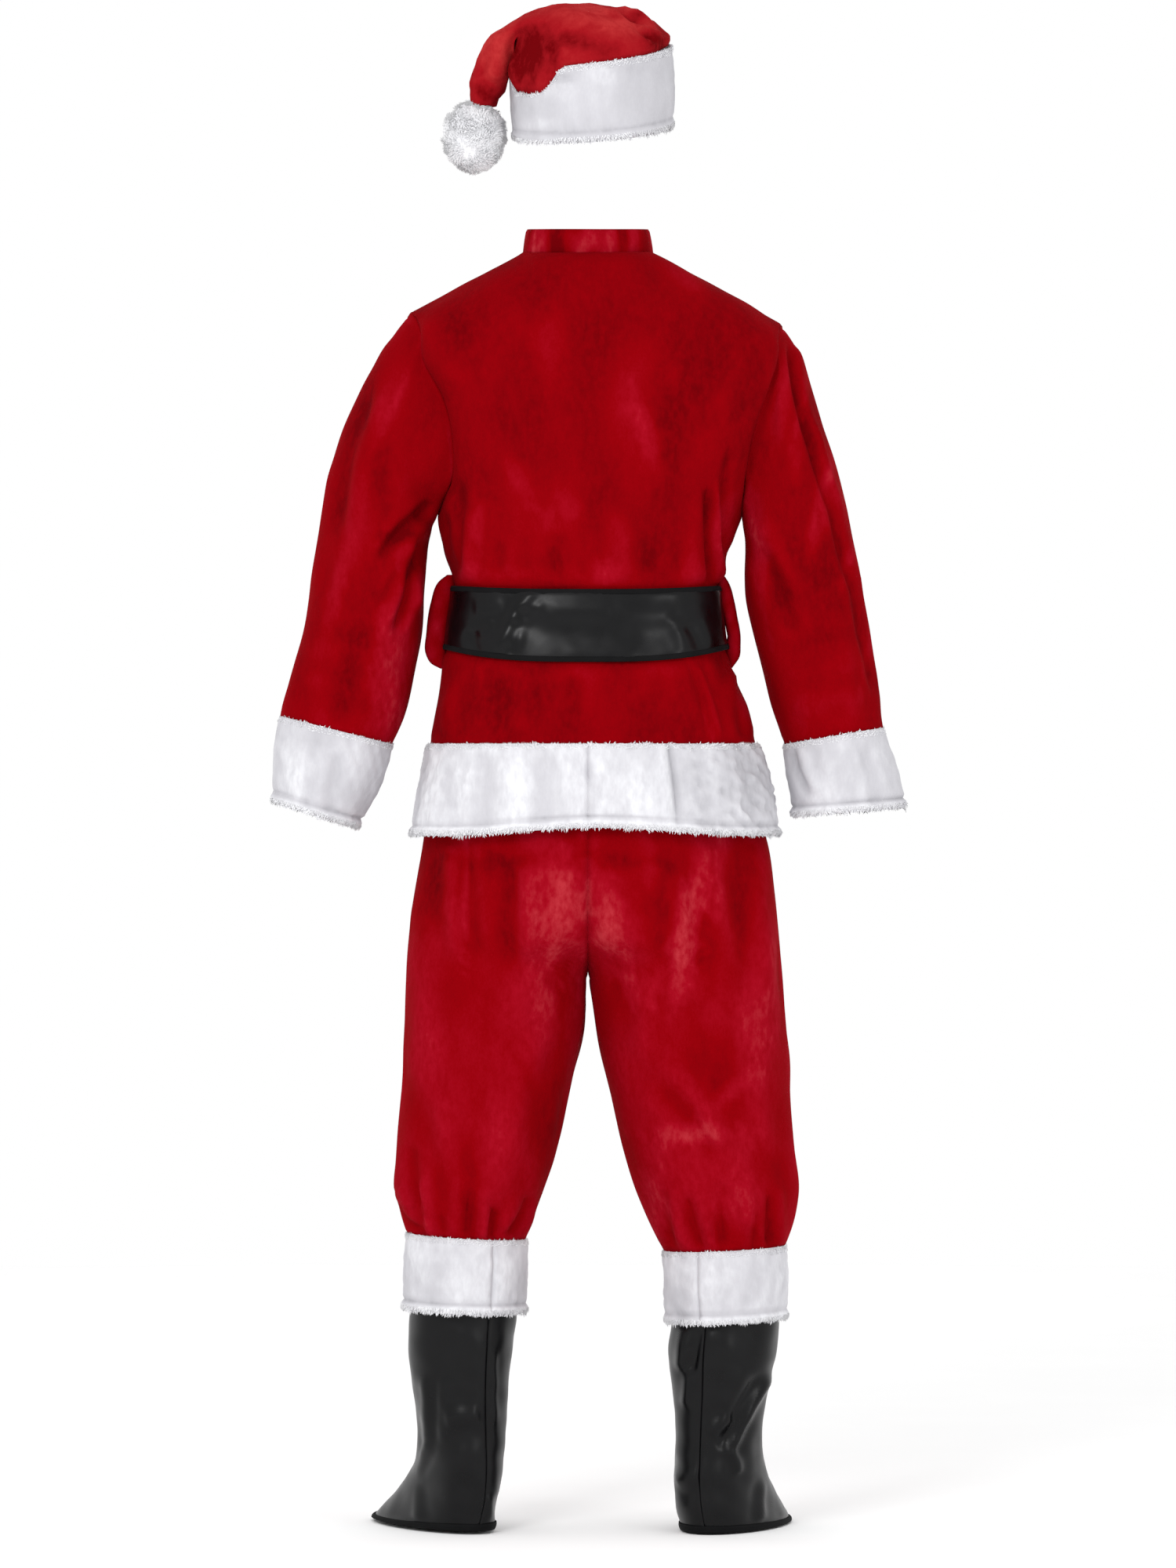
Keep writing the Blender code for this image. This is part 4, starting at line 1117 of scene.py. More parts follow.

# %% Folds, nap and painted shade of the sleeves
SLEEVE_FOLDS = {
    # side, start x, start z, end x, end z, width, rise, bow
    "left": [
        (1, 262, -150, 300, -330, 12, -6, 6),
        (1, 240, -150, 282, -330, 14, 4, 6),
        (1, 186, -290, 250, -358, 6, -8, 3),
        (1, 196, -318, 252, -398, 8, 5, 2),
        (1, 202, -336, 230, -446, 6, -8, -4),
        (1, 214, -330, 244, -440, 7, 4, -4),
        (1, 208, -352, 204, -420, 5, 4, 0),
        (1, 228, -468, 330, -440, 9, -2, 4),
        (1, 232, -492, 340, -468, 10, 2, 4),
        (1, 240, -530, 352, -500, 9, 1.8, 3),
        (1, 306, -240, 330, -400, 9, 3, 2),
        (1, 262, -430, 300, -560, 12, -3, 3),
        (-1, 250, -150, 300, -350, 14, -6, 4),
        (-1, 230, -200, 270, -380, 12, 5, 4),
        (-1, 216, -400, 320, -430, 9, -6, 5),
        (-1, 214, -430, 326, -450, 9, 5, 5),
        (-1, 226, -466, 330, -476, 9, -5, 4),
        (-1, 250, -500, 340, -520, 9, 4, 3),
    ],
    "right": [
        (1, -243, -100, -266, -222, 5, -8, 4),
        (1, -264, -206, -294, -300, 5, -8, 3),
        (1, -290, -288, -322, -400, 5, -7, 2),
        (1, -318, -384, -346, -520, 5, -5, 2),
        (1, -268, -190, -300, -300, 7, 3, 3),
        (1, -228, -130, -252, -260, 12, 4, 4),
        (1, -204, -310, -262, -400, 12, 5, 4),
        (1, -210, -350, -250, -450, 10, -4, 4),
        (1, -226, -470, -326, -446, 9, -2, -4),
        (1, -236, -500, -336, -480, 10, 2, -3),
        (1, -240, -540, -340, -520, 9, 1.6, -3),
        (1, -300, -420, -322, -560, 12, 3, 0),
        (-1, -250, -150, -300, -350, 14, -6, -4),
        (-1, -226, -200, -262, -380, 12, 5, -4),
        (-1, -214, -400, -316, -430, 9, -6, -5),
        (-1, -216, -430, -326, -452, 9, 5, -5),
        (-1, -230, -470, -334, -486, 9, -5, -4),
        (-1, -246, -510, -340, -530, 9, 4, -3),
    ],
}
# Most patches are the velour's nap. The two dark narrow ones at x 216 and 226 lie along the troughs at
# the left armpit: painted shade.
SLEEVE_NAP_AND_PAINTED_SHADE = [
    # side, x, z, half width, half height, lean, strength
    (1, 230, -170, 6, 50, -0.4, 0.3),
    (1, 292, -300, 12, 90, 0.16, 0.12),
    (1, 216, -372, 8, 24, -0.3, -0.9),
    (1, 226, -330, 22, 6, -1, -0.6),
    (1, 232, -465, 24, 90, -0.12, 0.6),
    (1, 300, -390, 10, 60, -0.2, 0.3),
    (1, 330, -440, 24, 60, 0.2, 0.14),
    (1, 270, -560, 46, 20, 0, 0.2),
    (1, 250, -250, 16, 60, 0.2, -0.3),
    (1, 300, -500, 26, 50, 0, -0.1),
    (1, -230, -180, 10, 60, -0.2, 0.35),
    (1, -206, -360, 9, 70, 0.1, 0.45),
    (1, -258, -170, 6, 50, -0.25, 0.5),
    (1, -286, -260, 6, 60, -0.3, 0.5),
    (1, -318, -350, 6, 60, -0.3, 0.45),
    (1, -342, -450, 6, 60, -0.2, 0.4),
    (1, -276, -330, 8, 40, -0.3, 0.4),
    (1, -300, -540, 40, 24, 0, 0.25),
    (1, -262, -260, 14, 70, -0.2, -0.35),
    (1, -320, -470, 24, 60, 0, -0.15),
    (-1, 250, -260, 20, 80, 0.2, 0.4),
    (-1, -250, -260, 20, 80, -0.2, 0.4),
    (-1, 300, -470, 24, 60, 0, 0.35),
    (-1, -300, -470, 24, 60, 0, 0.35),
]
CUFF_NAP = [
    # side, x, z, half width, half height, lean, strength
    (1, 360, -630, 16, 40, 0, 0.35),
    (1, 276, -640, 22, 30, 0, -0.3),
    (1, 320, -600, 14, 16, 0, 0.2),
    (1, -250, -620, 12, 40, 0, -0.1),
    (1, -330, -620, 16, 40, 0, 0.12),
    (1, -370, -640, 12, 40, 0, -0.15),
]
CUFF_FOLDS = [
    # side, start x, start z, end x, end z, width, rise, bow
    (1, -246, -586, -266, -640, 5, -3, 3),
    (1, -258, -586, -280, -640, 6, 2, 3),
    (1, -330, -580, -346, -660, 8, -2.5, 0),
    (1, 300, -590, 310, -670, 9, -2.5, 0),
    (1, 340, -580, 350, -660, 8, 2, 0),
    (-1, 300, -580, 320, -670, 9, 3, 0),
    (-1, -300, -580, -320, -670, 9, 3, 0),
]
print("folds are placed on both sleeves, front and back")

# %% Sleeves set into the armholes, and cuffs at their ends
under = len(YOKE_STEPS) + len(JACKET_ROWS) - UNDERARM_ROW
for name, hand in (("left", 1), ("right", -1)):
    back_edge = panels["back"][1][: underarm + 1, 0 if hand > 0 else -1]
    front_edge = panels["front"][1][: underarm + 1, -1 if hand > 0 else 0]
    loop = np.concatenate([back_edge, front_edge[-2:0:-1]])
    down = np.interp(np.arange(underarm + 1), jacket_marks[: under + 1], np.arange(under + 1))
    turns = np.concatenate([down, 2 * under - down[-2:0:-1]]) * math.pi / under
    tube = rings(SLEEVE_ROWS[name] + SLEEVE_CUFF_ROWS[name], turns)
    coarse = np.concatenate([[loop, loop + (tube[0] - loop) * CAP_SHARE], tube])
    seam = 2 + len(SLEEVE_ROWS[name]) - 1
    coarse = coarse if hand > 0 else turned(coarse)
    form, marks = smoothed(coarse, CLOTH_STEP)
    sleeve = form[: marks[seam] + 1]
    out = outward(form, closed=True)[: marks[seam] + 1]
    top, low = from_ends(sleeve, 0)
    calm = eased(top / SLEEVE_CALM) * eased(low / CUFF_CALM)
    lift = folds(sleeve, SLEEVE_FOLDS[name]) + 1.1 * ripples(sleeve, 90, 71)
    lift = (lift + 0.25 * ripples(sleeve, 34, 72)) * calm
    lift -= ARMHOLE_DEPTH * dimple(top - ARMHOLE_AT, ARMHOLE_AT) * eased(top / ARMHOLE_AT)
    outer = sleeve + out * lift[..., None]
    # painted shade in the folds' troughs and a painted highlight on their ridges, and a pale line 8 mm
    # below the armhole seam
    nap = with_painted_fold_light(nap_at(sleeve, SLEEVE_NAP_AND_PAINTED_SHADE, 73, 0.7) - 0.08, lift) + 0.3 * dimple(top - 8, 3)
    sheet_piece(f"sleeve_{name}", "cloth", (outer, outer - PLUSH * out), sleeve, ["jacket_back_cloth"],
                closed=True, nap=nap)
    cuff, _ = smoothed(coarse[seam:], PILE_STEP)
    lift = folds(cuff, CUFF_FOLDS) + 0.6 * ripples(cuff, 60, 74) + 0.35 * ripples(cuff, 15, 75)
    outer, inner, out = plush_skins(cuff, PILE_REACH / 3, lift)
    nap = pile_nap_and_painted_light(cuff, 0.02 + nap_at(cuff, CUFF_NAP, 76), lift)
    sheet_piece(f"sleeve_cuff_{name}", "plush", (outer, inner), cuff, [f"sleeve_{name}_cloth"],
                closed=True, tufts=(out, 80 + hand), nap=nap)

# %% [markdown]
# ## The collar
# A plain stand collar is a folded strip sewn to the neck edge. It stands up close to the neck, leans in
# a little, and its ends meet at the centre front. Its upper edge is a soft fold of the velour.
# Levels stacked on the neck edge make it, so it follows the neck and can curve in at the top.

# %% Collar
COLLAR_HEIGHT, COLLAR_LEAN, COLLAR_STEPS = 29, 4, 9
COLLAR_TUCK, COLLAR_EXTRA = 1.8, 2.4  # it starts below the neck edge, and its top fold takes some
neck = np.abs(SHARES) <= NECK_SHARE + 1e-6
front_neck = panels["front"][0][0][neck[::-1]]
back_neck = panels["back"][0][0][neck]
half = len(front_neck) // 2
ring = np.concatenate([front_neck[half:-1], back_neck[:-1], front_neck[: half + 1]])
outwards = unit(ring * (1, 1, 0))
levels = np.linspace(1, 0, COLLAR_STEPS)[:, None, None]
heights = (COLLAR_HEIGHT + COLLAR_EXTRA) * levels - COLLAR_TUCK
collar_form = ring + UP * heights - outwards * COLLAR_LEAN * levels
wave = 0.9 * ripples(collar_form, 45, 91) * eased(levels[..., 0] * 3)
wave = wave + 0.7 + 0.8 * np.sin(math.pi * levels[..., 0])
fold_in = 1.2 * eased((levels[..., 0] - 0.86) / 0.14)
collar_outer = collar_form + outwards * (wave - fold_in)[..., None]
collar_inner = collar_form + outwards * (wave + fold_in - PLUSH)[..., None]
for skin in (collar_outer, collar_inner):
    skin[0] -= UP  # the fold's own round takes a millimetre
nap = 0.3 * ripples(collar_form, 30, 92)
sheet_piece("jacket_collar", "cloth", (collar_outer, collar_inner), collar_form, ["jacket_collar"],
            finish=(red_velour, None), nap=nap)

# %% [markdown]
# ## The belt
# The belt is a strap of soft vinyl, bound along both edges with black tape, that lies on the gathered
# jacket. It follows the jacket's own columns, a little off the cloth. A strap bends in
# wide soft ridges and shallow dimples that take the lamps' light in broad streaks, so one level of
# subdivision keeps them round. In front it passes over the bar of a plain plated buckle. A soft tube of
# the velour at each side keeps it up.

# %% Sizes of the belt
VINYL, TAPE = 1.5, 1.0  # how thick they are
STRAP_CLEAR, TAPE_GAP = 0.9, 0.3  # the strap's gap from the cloth, and the tape's from the strap
BINDING_WIDTH, BINDING_STEPS = 6.5, 5
BAR_RISE = 8.5  # the strap is raised so far over the buckle's bar
STRAP_STEPS = 28
STRAP_CALM = 8  # its edges are straight, and wrinkles begin so far in
STRAP_STAND = 2.4  # the stiff strap stands off the narrow waist so far under its top edge
BAR_FLAT, BAR_RAMP = 15.0, 16.0  # how far from the centre the strap is raised, and fades back


def belt_grid(steps):
    """Rings over the jacket from the belt's upper edge to its lower one."""
    halves = []
    for form, side in ((back_form, 1), (front_form, -1)):
        upper, lower = belt_edges(side)
        shares = np.linspace(0, 1, steps)[:, None]
        heights = upper * (1 - shares) + lower * shares
        columns = []
        for j in range(form.shape[1]):
            column = form[::-1, j]
            x, y = (np.interp(heights[:, j], column[:, 2], column[:, axis]) for axis in (0, 1))
            columns.append(np.stack([x, y, heights[:, j]], axis=1))
        halves.append(np.stack(columns, axis=1)[:, :-1])
    grid = np.concatenate(halves, axis=1)
    over = 1 - eased((np.abs(grid[..., 0]) - BAR_FLAT) / BAR_RAMP)
    return grid - BACKWARD * (BAR_RISE * over * (grid[..., 1] < 0))[..., None]


print("the strap is", VINYL, "mm of vinyl with", TAPE, "mm tape on both edges")

# %% Wrinkles of the strap
STRAP_WRINKLES = [
    # side, start x, start z, end x, end z, width, rise, bow
    (1, 62, -398, 92, -436, 11, 3.0, 0),
    (1, 82, -424, 106, -474, 11, 3.0, 3),
    (1, 58, -404, 80, -432, 5, -1.4, 0),
    (1, 78, -428, 96, -474, 5, -1.6, 0),
    (1, 66, -421, -34, -421, 14, 2.7, 0),
    (1, 92, -414, 52, -418, 8, 1.5, 0),
    (1, 134, -420, 100, -416, 11, 2.4, 0),
    (1, -30, -420, -100, -426, 13, 2.0, 4),
    (1, 120, -453, 74, -456, 13, 2.8, 0),
    (1, 128, -452, 110, -436, 8, 2.0, 0),
    (1, 30, -470, -60, -478, 11, 1.2, 0),
    (1, 138, -442, 128, -480, 8, -3, 3),
    (1, -118, -436, -134, -470, 8, -3, -3),
    (1, -98, -430, -112, -474, 7, 1.6, -3),
    (-1, 70, -396, 72, -462, 3, 1.2, 0),
    (-1, -86, -396, -84, -462, 3, 1.2, 0),
    (-1, 120, -396, 118, -462, 8, -1, 0),
]
print(len(STRAP_WRINKLES), "wrinkles and dimples in the strap")

# %% Strap
strap_form = belt_grid(STRAP_STEPS)
out = outward(strap_form, closed=True)
lift = folds(strap_form, STRAP_WRINKLES) + 0.35 * ripples(strap_form, 66, 101, EVEN)
lift += 0.06 * ripples(strap_form, 19, 102, EVEN)
lift += STRAP_STAND * (1 - np.linspace(0, 1, STRAP_STEPS))[:, None]
ends = np.minimum(*from_ends(strap_form, 0))
at_front = strap_form[..., 1] < 0
beside_bar = eased((np.abs(strap_form[..., 0]) - 20) / 30)
lift = lift * eased(ends / STRAP_CALM) * np.where(at_front, beside_bar, 1)
near = STRAP_CLEAR + lift
strap_outer = strap_form + out * (near + VINYL)[..., None]
strap_inner = strap_form + out * near[..., None]
made = wall("belt_strap_vinyl", strap_outer, strap_inner, black_vinyl, closed=True)
smoother = made.modifiers.new("smoother", "SUBSURF")
smoother.levels = smoother.render_levels = 1
stand_in(made, "black_vinyl", "belt_strap")
as_sheet(made, strap_form, closed=True)

# %% Bindings along both its edges
share = (BINDING_WIDTH / run(strap_form, 0)[-1])[None, :, None]
steps = np.linspace(0, 1, BINDING_STEPS)[:, None, None]
crown = np.sin(np.linspace(0, math.pi, BINDING_STEPS))[:, None] * 0.5
face = STRAP_CLEAR + VINYL + TAPE_GAP
for name, edge, way in (("top", 0, 1), ("bottom", -1, -1)):
    near_edge, far_edge = strap_form[edge], strap_form[-1 - edge]
    strip = (near_edge + (far_edge - near_edge) * share * steps)[::way]
    out = outward(strip, closed=True)
    pucker = 0.15 * ripples(strip, 9, 103)
    outer = strip + out * (face + TAPE * (0.6 + crown) + pucker)[..., None]
    sheet_piece(f"belt_binding_{name}", "tape", (outer, strip + out * face), strip,
                ["belt_strap_vinyl"], held="stretched", closed=True)

# %% Buckle: the CAD frame with its edges rounded as a casting's are
EDGE_ROUND = 0.9
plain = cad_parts["belt_buckle"]
buckle = bpy.data.objects.new("belt_buckle_plated", plain.data.copy())
buckle.data.materials.clear()
buckle.data.materials.append(gilt_metal)
bpy.context.scene.collection.objects.link(buckle)
bevel = buckle.modifiers.new("rounded_edges", "BEVEL")
bevel.width, bevel.segments, bevel.limit_method = EDGE_ROUND * MM, 3, "ANGLE"
bevel.angle_limit = math.radians(40)
buckle.data.shade_smooth()
stand_in(buckle, "buckle_metal", "belt_buckle")
print("the buckle's edges are rounded by", EDGE_ROUND, "mm")

# %% Belt loops: soft turned tubes with a ribbed seam inside
LOOP_HALF_WIDTH = 8
LOOP_SKINS = {
    # height, outermost x, gap from the belt
    "left": ((-376, 170, 0), (-384, 180, 0), (-411, 190, 0), (-446, 195, 0), (-470, 196, 0),
             (-482, 190, 0), (-489, 178, 0)),
    "right": ((-374, -162, 0), (-384, -169, 0), (-410, -177, 0), (-426, -180, 2.0), (-450, -184, 3.2),
              (-460, -184, 0), (-474, -183, 0), (-488, -174, 0)),
}
LOOP_RIB = 2.4  # one rib of the overlocked seam every so many millimetres
LOOP_CORNERS = 24


def loop_tube(name, hand):
    """A soft flattened tube that fills the room between the belt's edge and its own outer line."""
    heights, outermost, gaps = (np.array(column, dtype=float) for column in zip(*LOOP_SKINS[name]))
    z = np.linspace(heights[0], heights[-1], 64)[::-1]
    edge = back_form[:, 0 if hand > 0 else -1][::-1]
    coat = np.interp(z, edge[:, 2], np.abs(edge[:, 0]))
    on_belt = eased((z - BELT_BOTTOM_Z) / 3) * eased((BELT_TOP_Z - z) / 3)
    bound = dimple(z - BELT_TOP_Z + 3, 3) + dimple(z - BELT_BOTTOM_Z - 3, 3)
    inside = coat - 2.4 + on_belt * (STRAP_CLEAR + VINYL + 0.8 + bound)
    inside += np.interp(z, heights[::-1], gaps[::-1])
    knots, _ = smoothed(np.stack([np.abs(outermost), np.zeros(len(heights)), heights], 1)[:, None], 2.0)
    outside = np.interp(z, knots[::-1, 0, 2], knots[::-1, 0, 0])
    outside = np.maximum(outside, inside + 1.5)
    tube = []
    for k in range(len(z)):
        middle, half = (inside[k] + outside[k]) / 2, (outside[k] - inside[k]) / 2
        depth = LOOP_HALF_WIDTH * min(1.0, 0.55 + half / 12) * (1 + 0.03 * math.sin(k * 0.7))
        ring = []
        for a in np.linspace(0, 2 * math.pi, LOOP_CORNERS, endpoint=False):
            rib = 0.22 * dimple(a - 2.3, 0.4) * math.sin(2 * math.pi * z[k] / LOOP_RIB)
            round_x = math.copysign(abs(math.cos(a)) ** 0.8, math.cos(a))
            ring.append((hand * (middle + (half + rib) * round_x), depth * math.sin(a), z[k]))
        tube.append(ring)
    return np.array(tube)


for name, hand in (("left", 1), ("right", -1)):
    tube = loop_tube(name, hand)
    rows, columns = tube.shape[:2]
    index = np.arange(rows * columns).reshape(rows, columns)
    index = np.concatenate([index, index[:, :1]], axis=1)
    quads = np.stack([index[:-1, :-1], index[:-1, 1:], index[1:, 1:], index[1:, :-1]], axis=-1)
    faces = quads.reshape(-1, 4).tolist() + [index[0, :-1].tolist()[::-1], index[-1, :-1].tolist()]
    middle = tube.mean(axis=1)
    probe = np.cross(tube[5, 1] - tube[5, 0], tube[6, 0] - tube[5, 0]) @ (tube[5, 0] - middle[5])
    faces = [face[::-1] for face in faces] if probe < 0 else faces
    made = mesh_piece(f"belt_loop_{name}_cloth", tube.reshape(-1, 3), faces, [red_velour])
    values = (0.05 + 0.1 * ripples(tube, 18, 111)).reshape(-1).astype(np.float32)
    made.data.attributes.new("nap", "FLOAT", "POINT").data.foreach_set("value", values)
    stand_in(made, "red_plush", f"belt_loop_{name}")
    print(made.name, "has", rows, "rings")

# %% [markdown]
# ## The trousers
# Each leg is a back and a front panel, joined at the outseam and the inseam, and the two legs are
# joined at the rise seam down the middle. Wide legs hang straight from the seat. The hem cuff holds
# the cloth in at the ankle, so it blouses over the cuff in a few deep folds. A section is
# drawn as two halves that stop at the centre plane, which gives the rise seam without a Boolean cut.

# %% Sizes of the trousers
# Trouser legs: a section that passes the centre plane is cut there, at the rise seams.
LEG_ROWS = {
    # outer x, outer z, inner x, inner z, half depth at the back and at the front
    "left": (
        (150, -474, -150, -474, 99, 101),
        (172, -560, -172, -560, 114, 117),
        (190, -640, -190, -640, 125, 124),
        (200, -704, -165, -704, 128, 124),
        (210, -762, -104, -762, 126, 120),
        (216, -812, -50, -812, 120, 114),
        (220, -866, 3, -866, 108, 106),
        (222, -930, 9, -930, 99, 100),
        (226, -1000, 22, -1000, 95, 96),
        (231, -1066, 36, -1066, 92, 94),
        (232, -1118, 53, -1118, 90, 90),
        (225, -1150, 67, -1154, 82, 82),
        (218, -1168, 75, -1176, 75, 75),
    ),
    "right": (
        (150, -474, -150, -474, 99, 101),
        (174, -560, -174, -560, 114, 117),
        (198, -640, -198, -640, 125, 124),
        (218, -704, -180, -704, 128, 124),
        (226, -762, -112, -762, 126, 120),
        (231, -812, -54, -812, 120, 114),
        (236, -866, 3, -866, 108, 106),
        (240, -930, 14, -930, 99, 100),
        (244, -1000, 27, -1000, 95, 96),
        (249, -1070, 42, -1070, 92, 94),
        (253, -1124, 60, -1124, 90, 90),
        (246, -1160, 77, -1163, 82, 82),
        (238, -1183, 91, -1190, 75, 75),
    ),
}
WAISTBAND_HEIGHT = 34
LEG_CUFF_ROWS = {
    "left": ((221, -1216, 75, -1222, 77, 77), (223, -1260, 77, -1265, 76, 76)),
    "right": ((240, -1229, 92, -1235, 77, 77), (237, -1271, 96, -1277, 76, 76)),
}
LEG_CUFF_REACH = 2.0
LEG_STEPS = 40  # columns from the outseam to the inseam


def leg_ring(row, side, hand):
    """Half a leg's section, from the outseam round to the inseam or the rise seam."""
    outer_x, outer_z, inner_x, inner_z, back_depth, front_depth = row
    depth = back_depth if side > 0 else front_depth
    middle, half = (outer_x + inner_x) / 2, (outer_x - inner_x) / 2
    end = math.acos(max(-1.0, -middle / half))
    turns = end * np.arange(LEG_STEPS + 1) / LEG_STEPS
    x = middle + half * np.cos(turns)
    z = inner_z + (outer_z - inner_z) * (x - inner_x) / (outer_x - inner_x)
    return np.stack([hand * x, side * depth * np.sin(turns), z], axis=1)


print("a leg has", len(LEG_ROWS["left"]), "sections")

# %% Folds, nap and a painted shadow of the trousers
LEG_FOLDS = [
    # side, start x, start z, end x, end z, width, rise, bow
    (1, 147, -700, 138, -836, 10, -5, 4),
    (1, 160, -700, 152, -850, 12, 4, 4),
    (1, 74, -716, 74, -840, 10, 5, 0),
    (1, 92, -716, 90, -850, 12, -4, 0),
    (1, 120, -860, 128, -1040, 18, -3, 6),
    (1, 190, -800, 200, -1000, 18, 3.5, 5),
    (1, 60, -920, 90, -1080, 16, 4, 6),
    (1, 176, -1000, 150, -1120, 12, 4, 5),
    (1, 212, -1060, 205, -1140, 7, -5, 2),
    (1, 233, -1128, 193, -1172, 5, -6, 6),
    (1, 222, -1110, 212, -1136, 5, 5, 0),
    (1, 200, -1100, 180, -1168, 7, 5, 4),
    (1, 142, -1128, 140, -1176, 5, -6, 0),
    (1, 128, -1110, 122, -1176, 6, 5, -3),
    (1, 110, -1136, 117, -1176, 5, -6, 0),
    (1, 70, -1122, 96, -1168, 5, -6, -5),
    (1, 88, -1120, 106, -1160, 6, 4, -5),
    (1, 160, -1110, 158, -1170, 7, 4, 0),
    (1, -120, -716, -136, -860, 12, -5, -4),
    (1, -196, -720, -214, -900, 12, 5, -3),
    (1, -176, -700, -190, -880, 12, -4, -4),
    (1, -60, -800, -64, -960, 14, 4, -4),
    (1, -120, -880, -128, -1040, 18, -3, -6),
    (1, -90, -960, -160, -1060, 12, 5, -8),
    (1, -80, -990, -150, -1080, 10, -4, -8),
    (1, -200, -960, -230, -1080, 14, 4, 4),
    (1, -160, -1100, -160, -1180, 7, -5, 0),
    (1, -219, -1120, -219, -1186, 5, -6, 0),
    (1, -232, -1110, -230, -1180, 6, 4, 0),
    (1, -190, -1110, -192, -1186, 7, 5, 0),
    (1, -120, -1120, -134, -1186, 6, -5, 3),
    (1, -104, -1110, -112, -1180, 7, 5, 3),
    (-1, 150, -700, 160, -1000, 9, 5, 4),
    (-1, 90, -760, 110, -980, 12, -4, 4),
    (-1, 200, -900, 190, -1080, 12, -4, 4),
    (-1, -150, -700, -160, -1000, 9, 5, -4),
    (-1, -90, -780, -112, -1000, 12, -4, -4),
    (-1, -204, -900, -214, -1080, 12, -4, -4),
]
CUFF_LINES = {
    1: [(216, -1170), (146, -1174), (78, -1178)],
    -1: [(-236, -1186), (-164, -1190), (-94, -1194)],
}
for hand, line in CUFF_LINES.items():
    LEG_FOLDS += gathers(line, 1, 9, (26, 60), 6.0, 3.6, 121 + hand, 1)
    LEG_FOLDS += gathers(line, 1, 13, (30, 80), 7.0, 4.4, 124 + hand, -1)
# Most patches are the velour's nap. The long dark band at z -720, just below the jacket's hem band, is
# a painted shadow of the hem.
LEG_NAP_AND_PAINTED_SHADOW = [
    # side, x, z, half width, half height, lean, strength
    (1, 30, -782, 24, 84, 0, 0.6),
    (1, -32, -800, 20, 74, 0.28, 0.55),
    (1, -121, -792, 22, 76, -0.25, 0.8),
    (1, 60, -860, 16, 60, 0, 0.25),
    (1, 148, -760, 3, 70, 0, 0.5),
    (1, 190, -1100, 12, 40, 0, 0.14),
    (1, 120, -1060, 14, 60, 0, 0.1),
    (1, -123, -1046, 52, 12, -1.2, 0.5),
    (1, -168, -996, 12, 22, -0.6, 0.45),
    (1, -222, -862, 10, 60, 0, 0.4),
    (1, -206, -960, 12, 60, 0, 0.3),
    (1, -80, -1130, 16, 50, 0, 0.4),
    (1, -180, -1110, 20, 50, 0, 0.3),
    (1, 200, -740, 26, 60, 0, -0.3),
    (1, 110, -800, 26, 80, 0, -0.2),
    (1, -90, -760, 16, 80, 0, -0.35),
    (1, -190, -760, 20, 60, 0, -0.3),
    (1, 60, -1010, 20, 60, 0, -0.25),
    (1, -160, -960, 30, 60, 0, -0.25),
    (1, 10, -720, 120, 12, 0, -0.35),
    (-1, 150, -850, 20, 100, 0, 0.5),
    (-1, -150, -870, 20, 100, 0, 0.5),
    (-1, 90, -1050, 24, 60, 0, 0.4),
    (-1, -190, -1050, 24, 60, 0, 0.4),
    (-1, 60, -760, 26, 60, 0, -0.4),
    (-1, -200, -760, 26, 60, 0, -0.4),
]
print(len(LEG_FOLDS), "folds on the legs")

